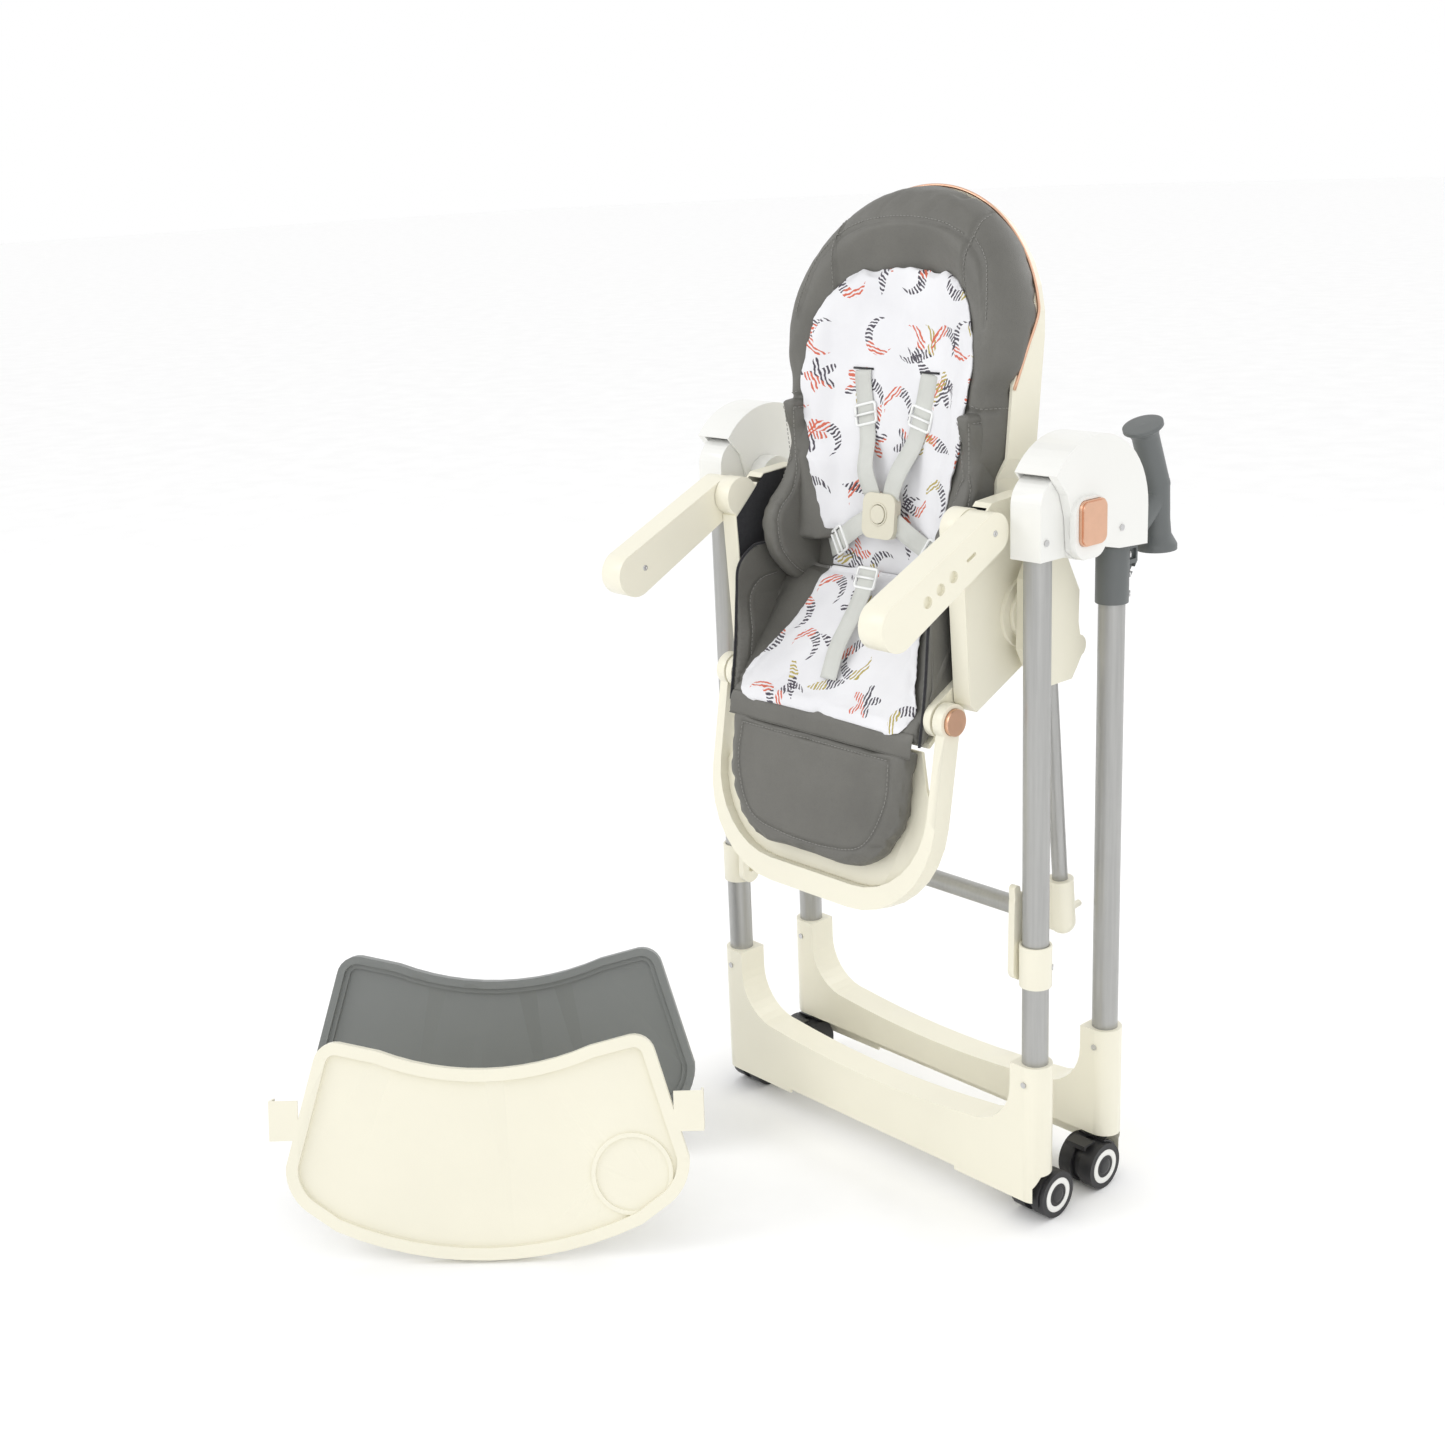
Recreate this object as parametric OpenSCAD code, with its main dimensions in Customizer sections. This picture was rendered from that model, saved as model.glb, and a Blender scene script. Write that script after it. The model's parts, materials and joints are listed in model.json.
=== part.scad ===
// Folding high chair, folded flat with its seat hanging forward and both trays lifted off.
// The chair faces -Y. Chair coordinates: x = 0 is its middle plane, y = 0 the front legs' axes,
// z = 0 the floor. at_origin() moves them so that the origin is below the middle of the whole box.

/* [Frame] */
// Distance between the axes of the left and right legs
leg_span = 491; // [489:1:493]
// Distance between the front and rear leg axes, folded
leg_gap = 129; // [127:1:131]
// Outer diameter of a leg tube
leg_d = 30; // [28:0.5:31]
// Wall of a leg tube
leg_wall = 1.5; // [1:0.1:2]
// Height of the fold axis
hub_z = 819; // [815:1:822]
// Distance of the fold axis behind the front legs
hub_y = 50; // [49:1:51]
// Radius of the hub domes
dome_r = 88; // [86:1:90]
// Diameter of the fold axle
axle_d = 24; // [20:1:26]

/* [Feet and casters] */
// Height of the feet's sockets
foot_h = 200; // [190:1:205]
// Depth of a foot, front to back
foot_depth = 40; // [38:1:41]
// Height of a foot's crossbar at the middle
saddle_z = 101; // [98:1:110]
// Radius of a caster wheel
wheel_r = 28.2; // [27:0.1:29]
// Width of a twin caster over both wheels
caster_w = 47; // [44:1:48]
// Distance of the wheel axle from the swivel axis
trail = 20; // [18:1:22]

/* [Seat rail] */
// Diameter of a rail tube
rail_d = 18; // [16:1:19]
// Lean of the rails, in degrees back from straight down
rail_lean = 5.1; // [4.5:0.1:5.5]
// Distance from the fold axis down to the cross tube
cross_at = 487; // [480:1:490]
// Diameter of the cross tube
cross_d = 23; // [20:1:24]

/* [Seat] */
// Half the width between the side panels' outer faces
panel_x = 188; // [187:0.5:188.5]
// Thickness of a side panel
panel_t = 23; // [21:0.5:23]
// Distance of the tilt axis behind the front legs
tilt_y = 48; // [46:1:50]
// Height of the tilt axis
tilt_z = 708; // [706:1:710]
// Half the width of the seat pad
pad_half = 146; // [140:1:148]

/* [Backrest] */
// Lean of the backrest, in degrees from upright
back_lean = 6.5; // [6:0.1:7]
// Height of the backrest above its hinge
back_h = 436; // [430:1:440]
// Half the width of the backrest at the shoulders
back_half = 163; // [160:1:163]

/* [Footrest] */
// Length of the footrest loop below its hinge
loop_len = 236; // [230:1:240]
// Half the outer width of the loop
loop_half = 180; // [179:0.5:180.5]
// Lean of the footrest, in degrees forward from straight down
loop_lean = 10; // [9:0.5:11]

/* [Armrests] */
// Distance from an armrest's pivot to the centre of its tip
arm_len = 164; // [155:1:168]
// Slope of an armrest, in degrees down from level
arm_slope = 26; // [24:0.5:28]

/* [Trays] */
// Widest width of the cover tray
tray_w = 464; // [456:1:468]
// Size of the base tray against the cover tray
base_scale = 1.04; // [1.02:0.01:1.05]
// Turn of the standing trays about the vertical, in degrees
tray_turn = 46.3; // [44:0.5:48]
// Lean of the standing trays, in degrees back from upright
tray_lean = 17; // [15:0.5:19]

/* [Hidden] */
$fn = 48;
leg_x = leg_span / 2;
gap = 0.05;                       // radial clearance of a running fit
cover_in = leg_x - 21;            // front cover's inner face
cover_out = leg_x + 19;           // front cover's outer face
dome_in = cover_in - 3.5;
dome_out = cover_out + 11.5;
plate = 3;                        // wall of the moulded shells
rail_x = leg_x - 36;
caster_x = leg_x - 5;
pivot = [hub_y, hub_z];
tilt = [tilt_y, tilt_z];
recline = [78, 722];              // y, z of the recline axis
foot_hinge = [-60, 604];          // y, z of the footrest axis
arm_pivot = [-40, 812];
arm_in = panel_x + 1;
arm_out = arm_in + 33;
tray_half = tray_w / 2;
cover_spot = [-137, -503];        // where each tray's lowest point stands
base_spot = [-301, -363];
panel_outline = [[-52, 790], [-42, 620], [-31, 610], [62, 654], [61, 828], [50, 839], [-5, 835]];
origin_shift = [109.431, 211.283, 0];

// ---- helpers -------------------------------------------------------------------------------

// Points of an arc about c, from angle a0 to a1
function arc(c, r, a0, a1, n = 8) =
    [for (i = [0:n]) let (a = a0 + (a1 - a0) * i / n) c + r * [cos(a), sin(a)]];

function mirrored(points) = [for (i = [len(points) - 1:-1:0]) [-points[i][0], points[i][1]]];

module at_origin() translate(origin_shift) children();

// Draws the right side's part on the left too
module both() {
    children();
    mirror([1, 0, 0]) children();
}

// A y-z outline, swept from x0 to x1
module along_x(x0, x1) translate([x0, 0, 0]) rotate([90, 0, 90]) linear_extrude(x1 - x0) children();

// An x-z outline, swept from y0 to y1
module along_y(y0, y1) translate([0, y1, 0]) rotate([90, 0, 0]) linear_extrude(y1 - y0) children();

module rod_x(x0, x1, at, d) translate([x0, at[0], at[1]]) rotate([0, 90, 0]) cylinder(h = x1 - x0, d = d);

// A round bar between two points, tapering from d0 to d1
module rod(p, q, d0, d1) {
    v = q - p;
    translate(p)
        rotate([0, acos(v[2] / norm(v)), atan2(v[1], v[0])])
            cylinder(h = norm(v), d1 = d0, d2 = d1);
}

// The straight sides between circles r0 and r1 that are l apart along x, just inside their tangents
module link_sides(l, r0, r1) {
    b = acos((r0 - r1) / l);
    polygon([for (e = [[0, r0, b], [l, r1, b], [l, r1, -b], [0, r0, -b]])
        [e[0] + (e[1] - 0.05) * cos(e[2]), (e[1] - 0.05) * sin(e[2])]]);
}

// A bar with round ends between the y-z points p and q, from x0 to x1
module link_x(x0, x1, p, q, r0, r1) {
    v = q - p;
    rod_x(x0, x1, p, 2 * r0);
    rod_x(x0, x1, q, 2 * r1);
    along_x(x0, x1) translate(p) rotate(atan2(v[1], v[0])) link_sides(norm(v), r0, r1);
}

// A rectangle with round corners, centred
module plaque(w, h, r) {
    square([w - 2 * r, h], center = true);
    square([w, h - 2 * r], center = true);
    for (x = [-1, 1], y = [-1, 1]) translate([x * (w / 2 - r), y * (h / 2 - r)]) circle(r);
}

// A pan-head screw, its head at p and pointing along the turned z axis
module screw(p, turn) translate(p) rotate(turn) {
    cylinder(h = 1.6, d = 7);
    translate([0, 0, -3]) cylinder(h = 3.5, d = 3.4);
}

// Frame of the rail: origin on the fold axis, +Z up along the rail
module on_rail() translate([rail_x, hub_y, hub_z]) rotate([rail_lean, 0, 0]) children();

// Frame of the backrest: origin on its hinge, +Z up the back, +Y behind it
module on_back() translate([0, recline[0], recline[1]]) rotate([-back_lean, 0, 0]) children();

// Frame of the footrest: origin on its hinge, -Z down the loop, -Y in front
module on_footrest() translate([0, foot_hinge[0], foot_hinge[1]]) rotate([-loop_lean, 0, 0]) children();

// Frame of a standing tray: x across, y up its face, z out of its face
module on_tray(spot, lift) translate([spot[0], spot[1], lift]) rotate([0, 0, tray_turn])
    rotate([90 - tray_lean, 0, 0]) children();

// ---- rail frame ----------------------------------------------------------------------------

module rail_tube() color("darkgray") on_rail() difference() {
    translate([0, 0, -cross_at + 14]) cylinder(h = cross_at - 30, d = rail_d);
    translate([0, 0, -cross_at]) cylinder(h = cross_at, d = rail_d - 3);
}

module cross_tube() color("darkgray") translate([0, hub_y, hub_z]) rotate([rail_lean, 0, 0])
    translate([0, 0, -cross_at]) rotate([0, 90, 0]) difference() {
        cylinder(h = 2 * rail_x - 8, d = cross_d, center = true);
        cylinder(h = 2 * rail_x, d = cross_d - 3, center = true);
    }

module lower_fitting() on_rail() difference() {
    union() {
        translate([0, 0, -cross_at]) cylinder(h = 54, d = 31);
        translate([0, 0, -cross_at]) sphere(d = 31);
        translate([-18, 0, -cross_at]) rotate([0, 90, 0]) cylinder(h = 18, d = cross_d + 6);
        translate([0, 12, -cross_at + 10]) rotate([-90, 0, 0]) cylinder(h = 20, d = 8);
    }
    translate([0, 0, -cross_at + 14]) cylinder(h = 60, d = rail_d + 2 * gap);
    translate([-30, 0, -cross_at]) rotate([0, 90, 0]) cylinder(h = 26, d = cross_d + 2 * gap);
}

module lower_fittings() color("ivory") both() lower_fitting();

module hub_core() {
    difference() {
        union() {
            rod_x(rail_x - 11, dome_in - 0.4, pivot, 52);
            on_rail() translate([0, 0, -46]) cylinder(h = 40, d = rail_d + 4);
        }
        on_rail() translate([0, 0, -60]) cylinder(h = 44, d = rail_d + 2 * gap);
    }
    rod_x(dome_in - 1, cover_out - 3, pivot, axle_d);
}

module hub_cores() color("ivory") both() hub_core();

// ---- legs and feet -------------------------------------------------------------------------

module leg_tube(y, top) color("darkgray") translate([leg_x, y, 92]) difference() {
    cylinder(h = top - 92, d = leg_d);
    translate([0, 0, -1]) cylinder(h = top, d = leg_d - 2 * leg_wall);
}

// Half of a foot's outline seen from the front: a low crossbar that sweeps up into the socket
function foot_half(inset) = concat(
    [for (i = [0:5]) let (x = 33 * i) [x, saddle_z - inset + 10 * pow(x / 165, 2)]],
    arc([165, saddle_z + 70], 60 + inset, -80, 0),
    [[225 + inset, foot_h - inset], [leg_x + foot_depth / 2 - inset, foot_h - inset],
     [leg_x + foot_depth / 2 - inset, 0]]);

// A foot: its skirt hangs lowest in front, and its back is cut away over the wheels
module foot() {
    deep = foot_depth / 2;
    difference() {
        intersection() {
            along_y(-deep, deep) polygon(concat(mirrored(foot_half(0)), foot_half(0)));
            translate([0, 0, 29]) linear_extrude(foot_h) {
                square([leg_span, foot_depth], center = true);
                for (s = [-1, 1]) translate([s * leg_x, 0]) circle(deep);
            }
        }
        along_x(-300, 300) polygon([[-deep + plate, 0], [-deep + plate, 48], [-10, 63],
            [deep + 1, 64], [deep + 1, 0]]);
        translate([-140, -deep - 1, 0]) cube([280, foot_depth + 2, 34]);
        translate([-214, -deep + plate, 30]) cube([428, foot_depth - 2 * plate, saddle_z - 30 - plate]);
        for (s = [-1, 1]) {
            translate([s * leg_x, 0, 92]) cylinder(h = foot_h, d = leg_d + 2 * gap);
            translate([s * caster_x, 0, 50]) cylinder(h = 34, d = 10 + 2 * gap);
        }
    }
}

module front_foot() color("cornsilk") foot();

module rear_foot() color("cornsilk") translate([0, leg_gap, 0]) mirror([0, 1, 0]) foot();

module front_collars() color("ivory") both() translate([leg_x, 0, 295]) difference() {
    cylinder(h = 50, d = leg_d + 7);
    translate([0, 0, -1]) cylinder(h = 52, d = leg_d + 2 * gap);
}

// The tall slotted plate that holds the folded rail frame, on the leg's inner side
module catch_plate() difference() {
    union() {
        link_x(leg_x - 27, leg_x - 18.5, [-2, 311], [-2, 390], 14, 12);
        link_x(leg_x - 27, leg_x - 18.5, [-8, 396], [-9, 407], 5, 5);
    }
    link_x(leg_x - 28, leg_x - 21.5, [-1, 316], [-1, 330], 5, 5);
    link_x(leg_x - 28, leg_x - 21.5, [-1, 352], [-1, 378], 5, 5);
}

module catch_plates() color("ivory") both() catch_plate();

// ---- hubs ----------------------------------------------------------------------------------

// The front leg's half of a hub: a disc on the fold axle with a socket for the leg
module front_cover() color("whitesmoke") difference() {
    union() {
        rod_x(cover_in, cover_out, pivot, 88);
        along_x(cover_in, cover_out) polygon(concat(arc([12, 838], 31, 180, 100),
            [[hub_y, 860], [hub_y, 780], [22, 786], [20, 782], [-19, 782]]));
    }
    translate([leg_x, 0, 700]) cylinder(h = hub_z + 12 - 700, d = leg_d + 2 * gap);
    rod_x(0, 400, pivot, axle_d + 2 * gap);
}

function dome_outline() = concat(
    arc([62, hub_z], dome_r, 0, 143, 20),
    [[10, 850], [18, 825], [21, 789], [38, 777], [60, 777], [74, 786], [100, 780],
     [62 + dome_r, 777]]);

// The rear leg's half of a hub: an outer and an inner plate joined over the top and at the back
module hub_dome() color("white") difference() {
    union() {
        along_x(dome_in, dome_out) polygon(dome_outline());
        translate([dome_out - 1, 43, 812]) rotate([90, 0, 90]) linear_extrude(7) plaque(54, 66, 20);
    }
    along_x(cover_in - 0.4, cover_out + 0.7) {
        intersection() {
            translate([60, hub_z]) circle(dome_r - 3);
            translate([-40, 700]) square([143, 300]);
        }
        translate([-60, 700]) square([163, hub_z - 690]);
    }
    rod_x(0, cover_in, pivot, axle_d + 2 * gap);
    translate([leg_x, leg_gap, 700]) cylinder(h = 145, d = leg_d + 2 * gap);
    translate([cover_out + 2.5, 43, 818]) rotate([90, 0, 90]) linear_extrude(30) plaque(42.6, 48.6, 9.3);
}

module fold_button() color("peru")
    translate([cover_out + 7, 43, 818]) rotate([90, 0, 90]) {
        linear_extrude(14) plaque(42, 48, 9);
        translate([0, 0, 13]) linear_extrude(3) plaque(39, 45, 8);
    }

module front_screws() color("silver") both() {
    screw([cover_out, -10, 802], [0, 90, 0]);
    screw([leg_x + 15, 10, 318], [0, 90, 34]);
    screw([leg_x, -foot_depth / 2, 178], [90, 0, 0]);
}

// ---- push handles --------------------------------------------------------------------------

module grip_bracket() color("dimgray") difference() {
    union() {
        translate([leg_x, leg_gap, 711]) cylinder(h = 64, d = leg_d + 7);
        along_x(leg_x - 6, leg_x + 6)
            polygon([[leg_gap, 729], [leg_gap + 26, 736], [leg_gap + 38, 752], [leg_gap + 38, 771],
                [leg_gap, 774]]);
    }
    translate([leg_x, leg_gap, 700]) cylinder(h = 90, d = leg_d + 2 * gap);
    for (s = [-1, 1]) along_x(leg_x + s * 6 - 4, leg_x + s * 6 + 4) {
        translate([leg_gap + 23, 741]) square([10, 9]);
        translate([leg_gap + 23, 755]) square([12, 12]);
    }
}

// An arm out of the bracket carries an upright grip with a flared foot and a leaning, capped top
module push_handle() color("dimgray") translate([leg_x, 0, 0]) {
    bend = [0, 207, 831];
    rod([0, leg_gap + 30.5, 779], [0, 206.5, 816], 25, 26.5);
    translate(bend) sphere(d = 30.6);
    translate(bend) rotate([182, 0, 0]) rotate_extrude()
        polygon([[0, 0], [15, 0], [15.2, 40], [16.5, 56], [23, 68], [23, 74], [0, 74]]);
    translate(bend) rotate([22, 0, 0]) rotate_extrude()
        polygon([[0, 0], [15, 0], [15, 60], [17, 66], [22.5, 70], [22.5, 74], [0, 75]]);
}

module rear_rivets() color("silver") both() {
    for (z = [720, 742, 764]) screw([leg_x + 13, leg_gap + 13, z], [0, 90, 45]);
    screw([dome_out, 103, 802], [0, 90, 0]);
    screw([leg_x, leg_gap - foot_depth / 2, 178], [90, 0, 0]);
}

// ---- casters: drawn at the front right, wheels behind the swivel axis ------------------------

// Moves a front right caster to its corner: front is 1 or -1, side is 1 or -1
module at_corner(front, side) translate([side * caster_x, front > 0 ? 0 : leg_gap, 0])
    mirror([0, front > 0 ? 0 : 1, 0]) mirror([side > 0 ? 0 : 1, 0, 0]) children();

module caster_fork() color("black") {
    translate([0, 0, 48]) cylinder(h = 34, d = 10);
    rod_x(-5, 5, [trail, wheel_r], 48);
    link_x(-5, 5, [trail, wheel_r], [0, 49], 22, 8);
    difference() {
        rod_x(-caster_w / 2 + 5, caster_w / 2 - 5, [trail, wheel_r], 2 * wheel_r + 5.6);
        rod_x(-caster_w, caster_w, [trail, wheel_r], 2 * wheel_r + 1.4);
        translate([-50, trail - 4, -10]) cube([100, 60, 110]);
        translate([-50, -50, -10]) cube([100, 200, 32]);
    }
    rod_x(-caster_w / 2 + 2, caster_w / 2 - 2, [trail, wheel_r], 6);
}

module caster_wheels() color("black") for (s = [-1, 1]) difference() {
    rod_x(s > 0 ? 5.6 : -caster_w / 2, s > 0 ? caster_w / 2 : -5.6, [trail, wheel_r], 2 * wheel_r);
    rod_x(s > 0 ? 5 : -caster_w / 2 + 1.6, s > 0 ? caster_w / 2 - 1.6 : -5, [trail, wheel_r], 6 + 2 * gap);
}

// A toe lever hinged across the top of a rear caster's hood
module brake_lever() color("black") translate([-14, trail + 9, 2 * wheel_r + 2.2]) {
    cube([28, 16, 2.6]);
    translate([0, 16, -3]) cube([28, 2.6, 5.6]);
    translate([14, 0, 0]) rod_x(-14, 14, [0, 1.3], 3.4);
}

// ---- carriage ------------------------------------------------------------------------------

module carriage() color("ivory") {
    difference() {
        along_x(rail_x - 11.2, rail_x + 11.2)
            polygon(concat([[46, 627], [92, 627], [102, 640]], arc([104, 662], 13, -70, 80, 6),
                [[103, 690], [104, 726], [82, 767], [34, 767], [24, 750], [22, 672]]));
        on_rail() translate([0, 0, -400]) cylinder(h = 400, d = rail_d + 2 * gap);
    }
    rod_x(panel_x + 5, rail_x - 11, tilt, 60);
    rod_x(147, rail_x - 11, recline, 14);
}

// ---- seat ----------------------------------------------------------------------------------

// A hollow panel, open towards the seat, with the disc that covers the seat's hinge
module side_panel() color("cornsilk") difference() {
    union() {
        difference() {
            union() {
                along_x(panel_x - panel_t, panel_x) polygon(panel_outline);
                rod_x(panel_x - panel_t, panel_x, arm_pivot, 46);
            }
            along_x(panel_x - panel_t - 1, panel_x - plate)
                polygon([[-45, 780], [-38, 624], [-29, 616], [58, 657], [57, 826], [48, 835], [-12, 830]]);
        }
        rod_x(panel_x - 1, panel_x + 5, tilt, 80);
        intersection() {
            rod_x(panel_x - panel_t, panel_x, tilt, 34);
            along_x(panel_x - panel_t, panel_x) polygon(panel_outline);
        }
        rod_x(panel_x - 8, arm_out - 5, arm_pivot, 16);
    }
    rod_x(panel_x - panel_t - 1, panel_x + 2.5, tilt, 20 + 2 * gap);
    rod_x(panel_x - panel_t - 1, panel_x + 6, recline, 15);
}

// The seat pan with its side rails and the two hinge housings of the footrest
module seat_shell() color("cornsilk") {
    along_x(-154, 154) polygon([[52, 674], [-70, 577], [-73, 572], [-69, 571], [55, 668]]);
    both() difference() {
        union() {
            link_x(154, 163.5, foot_hinge, [20, 660], 20, 9);
            link_x(154, 163.5, [20, 660], tilt, 9, 15);
            rod_x(163, 173.5, foot_hinge, 14);
            rod_x(163, panel_x + 1.5, tilt, 20);
        }
        for (i = [0:3]) along_x(159, 165) translate([-30 + 13 * i, 620 + 11 * i]) circle(4);
    }
}

// The seat cushion's surface, from the crease down to the front lip
function seat_top() = [[32, 728], [8, 704], [-22, 664], [-50, 630], [-72, 603], [-86, 588],
    [-88, 577], [-78, 570]];

module seat_pad() color("gray") {
    along_x(-pad_half, pad_half)
        polygon(concat(seat_top(), [[-71, 579.5], [46, 672.5], [44, 700]]));
    both() along_x(pad_half + 5, 153.9)
        polygon([[-82, 574], [-71, 636], [-66, 728], [-38, 752], [14, 750], [40, 712], [46, 682], [-60, 594]]);
}

module seat_liner() color("white") along_x(-118, 118)
    polygon([[36, 736], [11, 713], [-19, 672], [-47, 638], [-69, 612], [-91, 592], [-90, 583],
        [-87.5, 589.5], [-72.5, 604.5], [-50, 632], [-22, 666], [7.5, 706], [31, 730]]);

module crotch_strap() color("gainsboro") along_x(-13, 13)
    polygon([[-66, 622], [-21, 678], [8, 720], [9, 738], [11.4, 738], [10.9, 718], [-18.6, 675.5], [-63.6, 619.5]]);

// Black cloth over the open inner side of each side panel
module side_lining() color("black") both() difference() {
    along_x(163.8, panel_x - panel_t) polygon(panel_outline);
    rod_x(160, 170, tilt, 24);
}

// ---- backrest ------------------------------------------------------------------------------

// The backrest's outline in its own plane: narrow between the panels, an arch at the top
function back_outline(inset) = let (
    w = back_half - inset, top = back_h - inset, low = 150.5 - inset, r = 158 - inset,
    half = concat([[low, 30 + inset], [low, 124], [w, 146]],
        [for (a = [0:10:90]) [w * cos(a), top - r + r * sin(a)]]))
    concat(half, [for (i = [len(half) - 2:-1:0]) [-half[i][0], half[i][1]]]);

// The backrest's side above which the cushion wraps over the shell, in front of a sloping line
module wrap(front) along_x(-200, 200)
    polygon([[-100, 232 - front], [-44, 226 - front], [-26, 270 - front], [-9 + front, 326],
        [-9 + front, 500], [-100, 500]]);

// A shallow tub, its walls low at the bottom and only a rim where the cushion wraps over them
module backrest_shell() color("cornsilk") {
    on_back() difference() {
        along_y(-44, 4) polygon(back_outline(0));
        along_y(-45, 0) polygon(back_outline(4));
        wrap(0.5);
    }
    both() difference() {
        on_back() link_x(146.5, 150.4, [0, 0], [0, 60], 14, 12);
        rod_x(146, 151, recline, 14 + 2 * gap);
    }
}

// Across the cushion: a shallow trough between two bolsters
module trough(depth) {
    half = [[0, -34], [60, -36], [96, -46], [118, -66], [138, -79], [152, -74], [162, -56]];
    polygon(concat(half, [[162, depth], [-162, depth]], mirrored(half)));
}

module backrest_pad() color("gray") on_back() {
    intersection() {
        translate([0, 0, 40]) linear_extrude(back_h) trough(-0.4);
        union() {
            along_y(-90, 14) polygon(back_outline(5));
            intersection() {
                along_y(-90, 0) polygon(back_outline(0.5));
                wrap(0);
            }
        }
    }
    for (s = [-1, 1]) link_x(s * 134 - 14, s * 134 + 14, [-84, 40], [-62, 120], 30, 12);
}

module back_liner() color("white") on_back() translate([0, 0, 48]) linear_extrude(298)
    polygon([[0, -36], [60, -38], [94, -47.5], [112, -63], [104, -70], [86, -58], [56, -50], [0, -48],
        [-56, -50], [-86, -58], [-104, -70], [-112, -63], [-94, -47.5], [-60, -38]]);

module harness_straps() color("gainsboro") on_back() for (s = [-1, 1]) {
    along_y(-53.4, -51.6) polygon([[s * 38, 236], [s * 62, 230], [s * 26, 92], [s * 4, 92]]);
    along_y(-58, -56.2) polygon([[s * 14, 78], [s * 14, 54], [s * 72, 34], [s * 76, 56]]);
}

module buckle() color("linen") on_back() difference() {
    along_y(-68, -58) translate([0, 68]) plaque(50, 52, 12);
    along_y(-69, -62) translate([0, 70]) circle(11);
}

module buckle_button() color("beige") on_back() along_y(-70, -64.2) translate([0, 70]) circle(10.4);

// ---- footrest ------------------------------------------------------------------------------

function loop_outline(side, end, r) = concat(
    arc([side - r, r - end], r, 0, -90), mirrored(arc([side - r, r - end], r, 0, -90)));

module footrest_loop() color("cornsilk") on_footrest() difference() {
    union() {
        along_y(-12, 12) difference() {
            polygon(concat(loop_outline(loop_half, loop_len, 116), [[-loop_half, 0], [loop_half, 0]]));
            polygon(concat(loop_outline(loop_half - 13, loop_len - 27, 100),
                [[13 - loop_half, 30], [loop_half - 13, 30]]));
        }
        both() rod_x(loop_half - 13, loop_half, [0, 0], 40);
    }
    both() rod_x(loop_half - 20, loop_half - 6.2, [0, 0], 14 + 2 * gap);
    both() rod_x(loop_half - 5.2, loop_half + 5, [0, 0], 30.6);
}

module footrest_board() color("cornsilk") on_footrest() along_y(0, 5)
    polygon(concat(loop_outline(loop_half - 13, loop_len - 27, 100),
        [[-152, -80], [-140, -41], [140, -41], [152, -80]]));

module calf_pad() color("gray") on_footrest() along_y(-26, -0.4)
    polygon(concat(loop_outline(139, 190, 84), [[-139, -41], [139, -41]]));

module footrest_button() color("peru") translate([0, foot_hinge[0], foot_hinge[1]])
    rod_x(loop_half - 1, loop_half + 5, [0, 0], 30);

// ---- armrest -------------------------------------------------------------------------------

module armrest() color("cornsilk") {
    down = [-cos(arm_slope), -sin(arm_slope)];
    across = [-down[1], down[0]];
    difference() {
        link_x(arm_in, arm_out, arm_pivot, arm_pivot + arm_len * down, 22, 26);
        rod_x(0, arm_out - 4, arm_pivot, 16 + 2 * gap);
        for (i = [0:2]) along_x(arm_out - 5, arm_out + 1)
            translate(arm_pivot + (74 + 22 * i) * down + 2 * across) circle(6.5);
        link_x(arm_out - 4, arm_out + 1, arm_pivot + 36 * down, arm_pivot + 48 * down, 2, 2);
    }
}

// ---- trays ---------------------------------------------------------------------------------

// Half of a tray's outline, inset by t: bowed front, round corners, tapering sides, hollow back
function tray_half_outline(t) = concat(
    arc([0, 433], 433 - t, -90, -66, 6),
    arc([172, 108], 60 - t, -52, 4, 7),
    arc([172, 228], 25 - t, 12, 100, 6),
    arc([0, 543], 325 + t, -68, -90, 6));

module tray_outline(t) polygon(concat(tray_half_outline(t), mirrored(tray_half_outline(t))));

module tray_base() color("dimgray") on_tray(base_spot, 5.5) scale(base_scale) difference() {
    translate([0, 0, -18]) linear_extrude(18) tray_outline(0);
    translate([0, 0, -5]) linear_extrude(10) tray_outline(9);
    translate([0, 0, -9]) linear_extrude(10) tray_outline(15);
    translate([0, 0, -19]) linear_extrude(7.4) tray_outline(3);
}

module tray_cover() color("ivory") on_tray(cover_spot, 3.6) {
    difference() {
        translate([0, 0, -12]) linear_extrude(12) tray_outline(0);
        translate([0, 0, -6]) linear_extrude(10) tray_outline(14);
        translate([0, 0, -13]) linear_extrude(4.6) tray_outline(2.4);
    }
    translate([166, 94, -6.5]) linear_extrude(3.5) difference() {
        circle(47);
        circle(42);
    }
    both() difference() {
        translate([tray_half - 16, 142, -18]) cube([34, 46, 18]);
        translate([tray_half - 17, 130, -19]) cube([32, 70, 17]);
    }
}

at_origin() mirror([1, 0, 0]) rail_tube();  // rail_tube_left
at_origin() rail_tube();  // rail_tube_right
at_origin() cross_tube();
at_origin() lower_fittings();
at_origin() hub_cores();
at_origin() mirror([1, 0, 0]) leg_tube(0, hub_z + 10);  // front_tube_left
at_origin() leg_tube(0, hub_z + 10);  // front_tube_right
at_origin() front_foot();
at_origin() front_collars();
at_origin() catch_plates();
at_origin() mirror([1, 0, 0]) front_cover();  // front_cover_left
at_origin() front_cover();  // front_cover_right
at_origin() front_screws();
at_origin() mirror([1, 0, 0]) leg_tube(leg_gap, 843);  // rear_tube_left
at_origin() leg_tube(leg_gap, 843);  // rear_tube_right
at_origin() rear_foot();
at_origin() mirror([1, 0, 0]) hub_dome();  // hub_dome_left
at_origin() hub_dome();  // hub_dome_right
at_origin() mirror([1, 0, 0]) grip_bracket();  // grip_bracket_left
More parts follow.
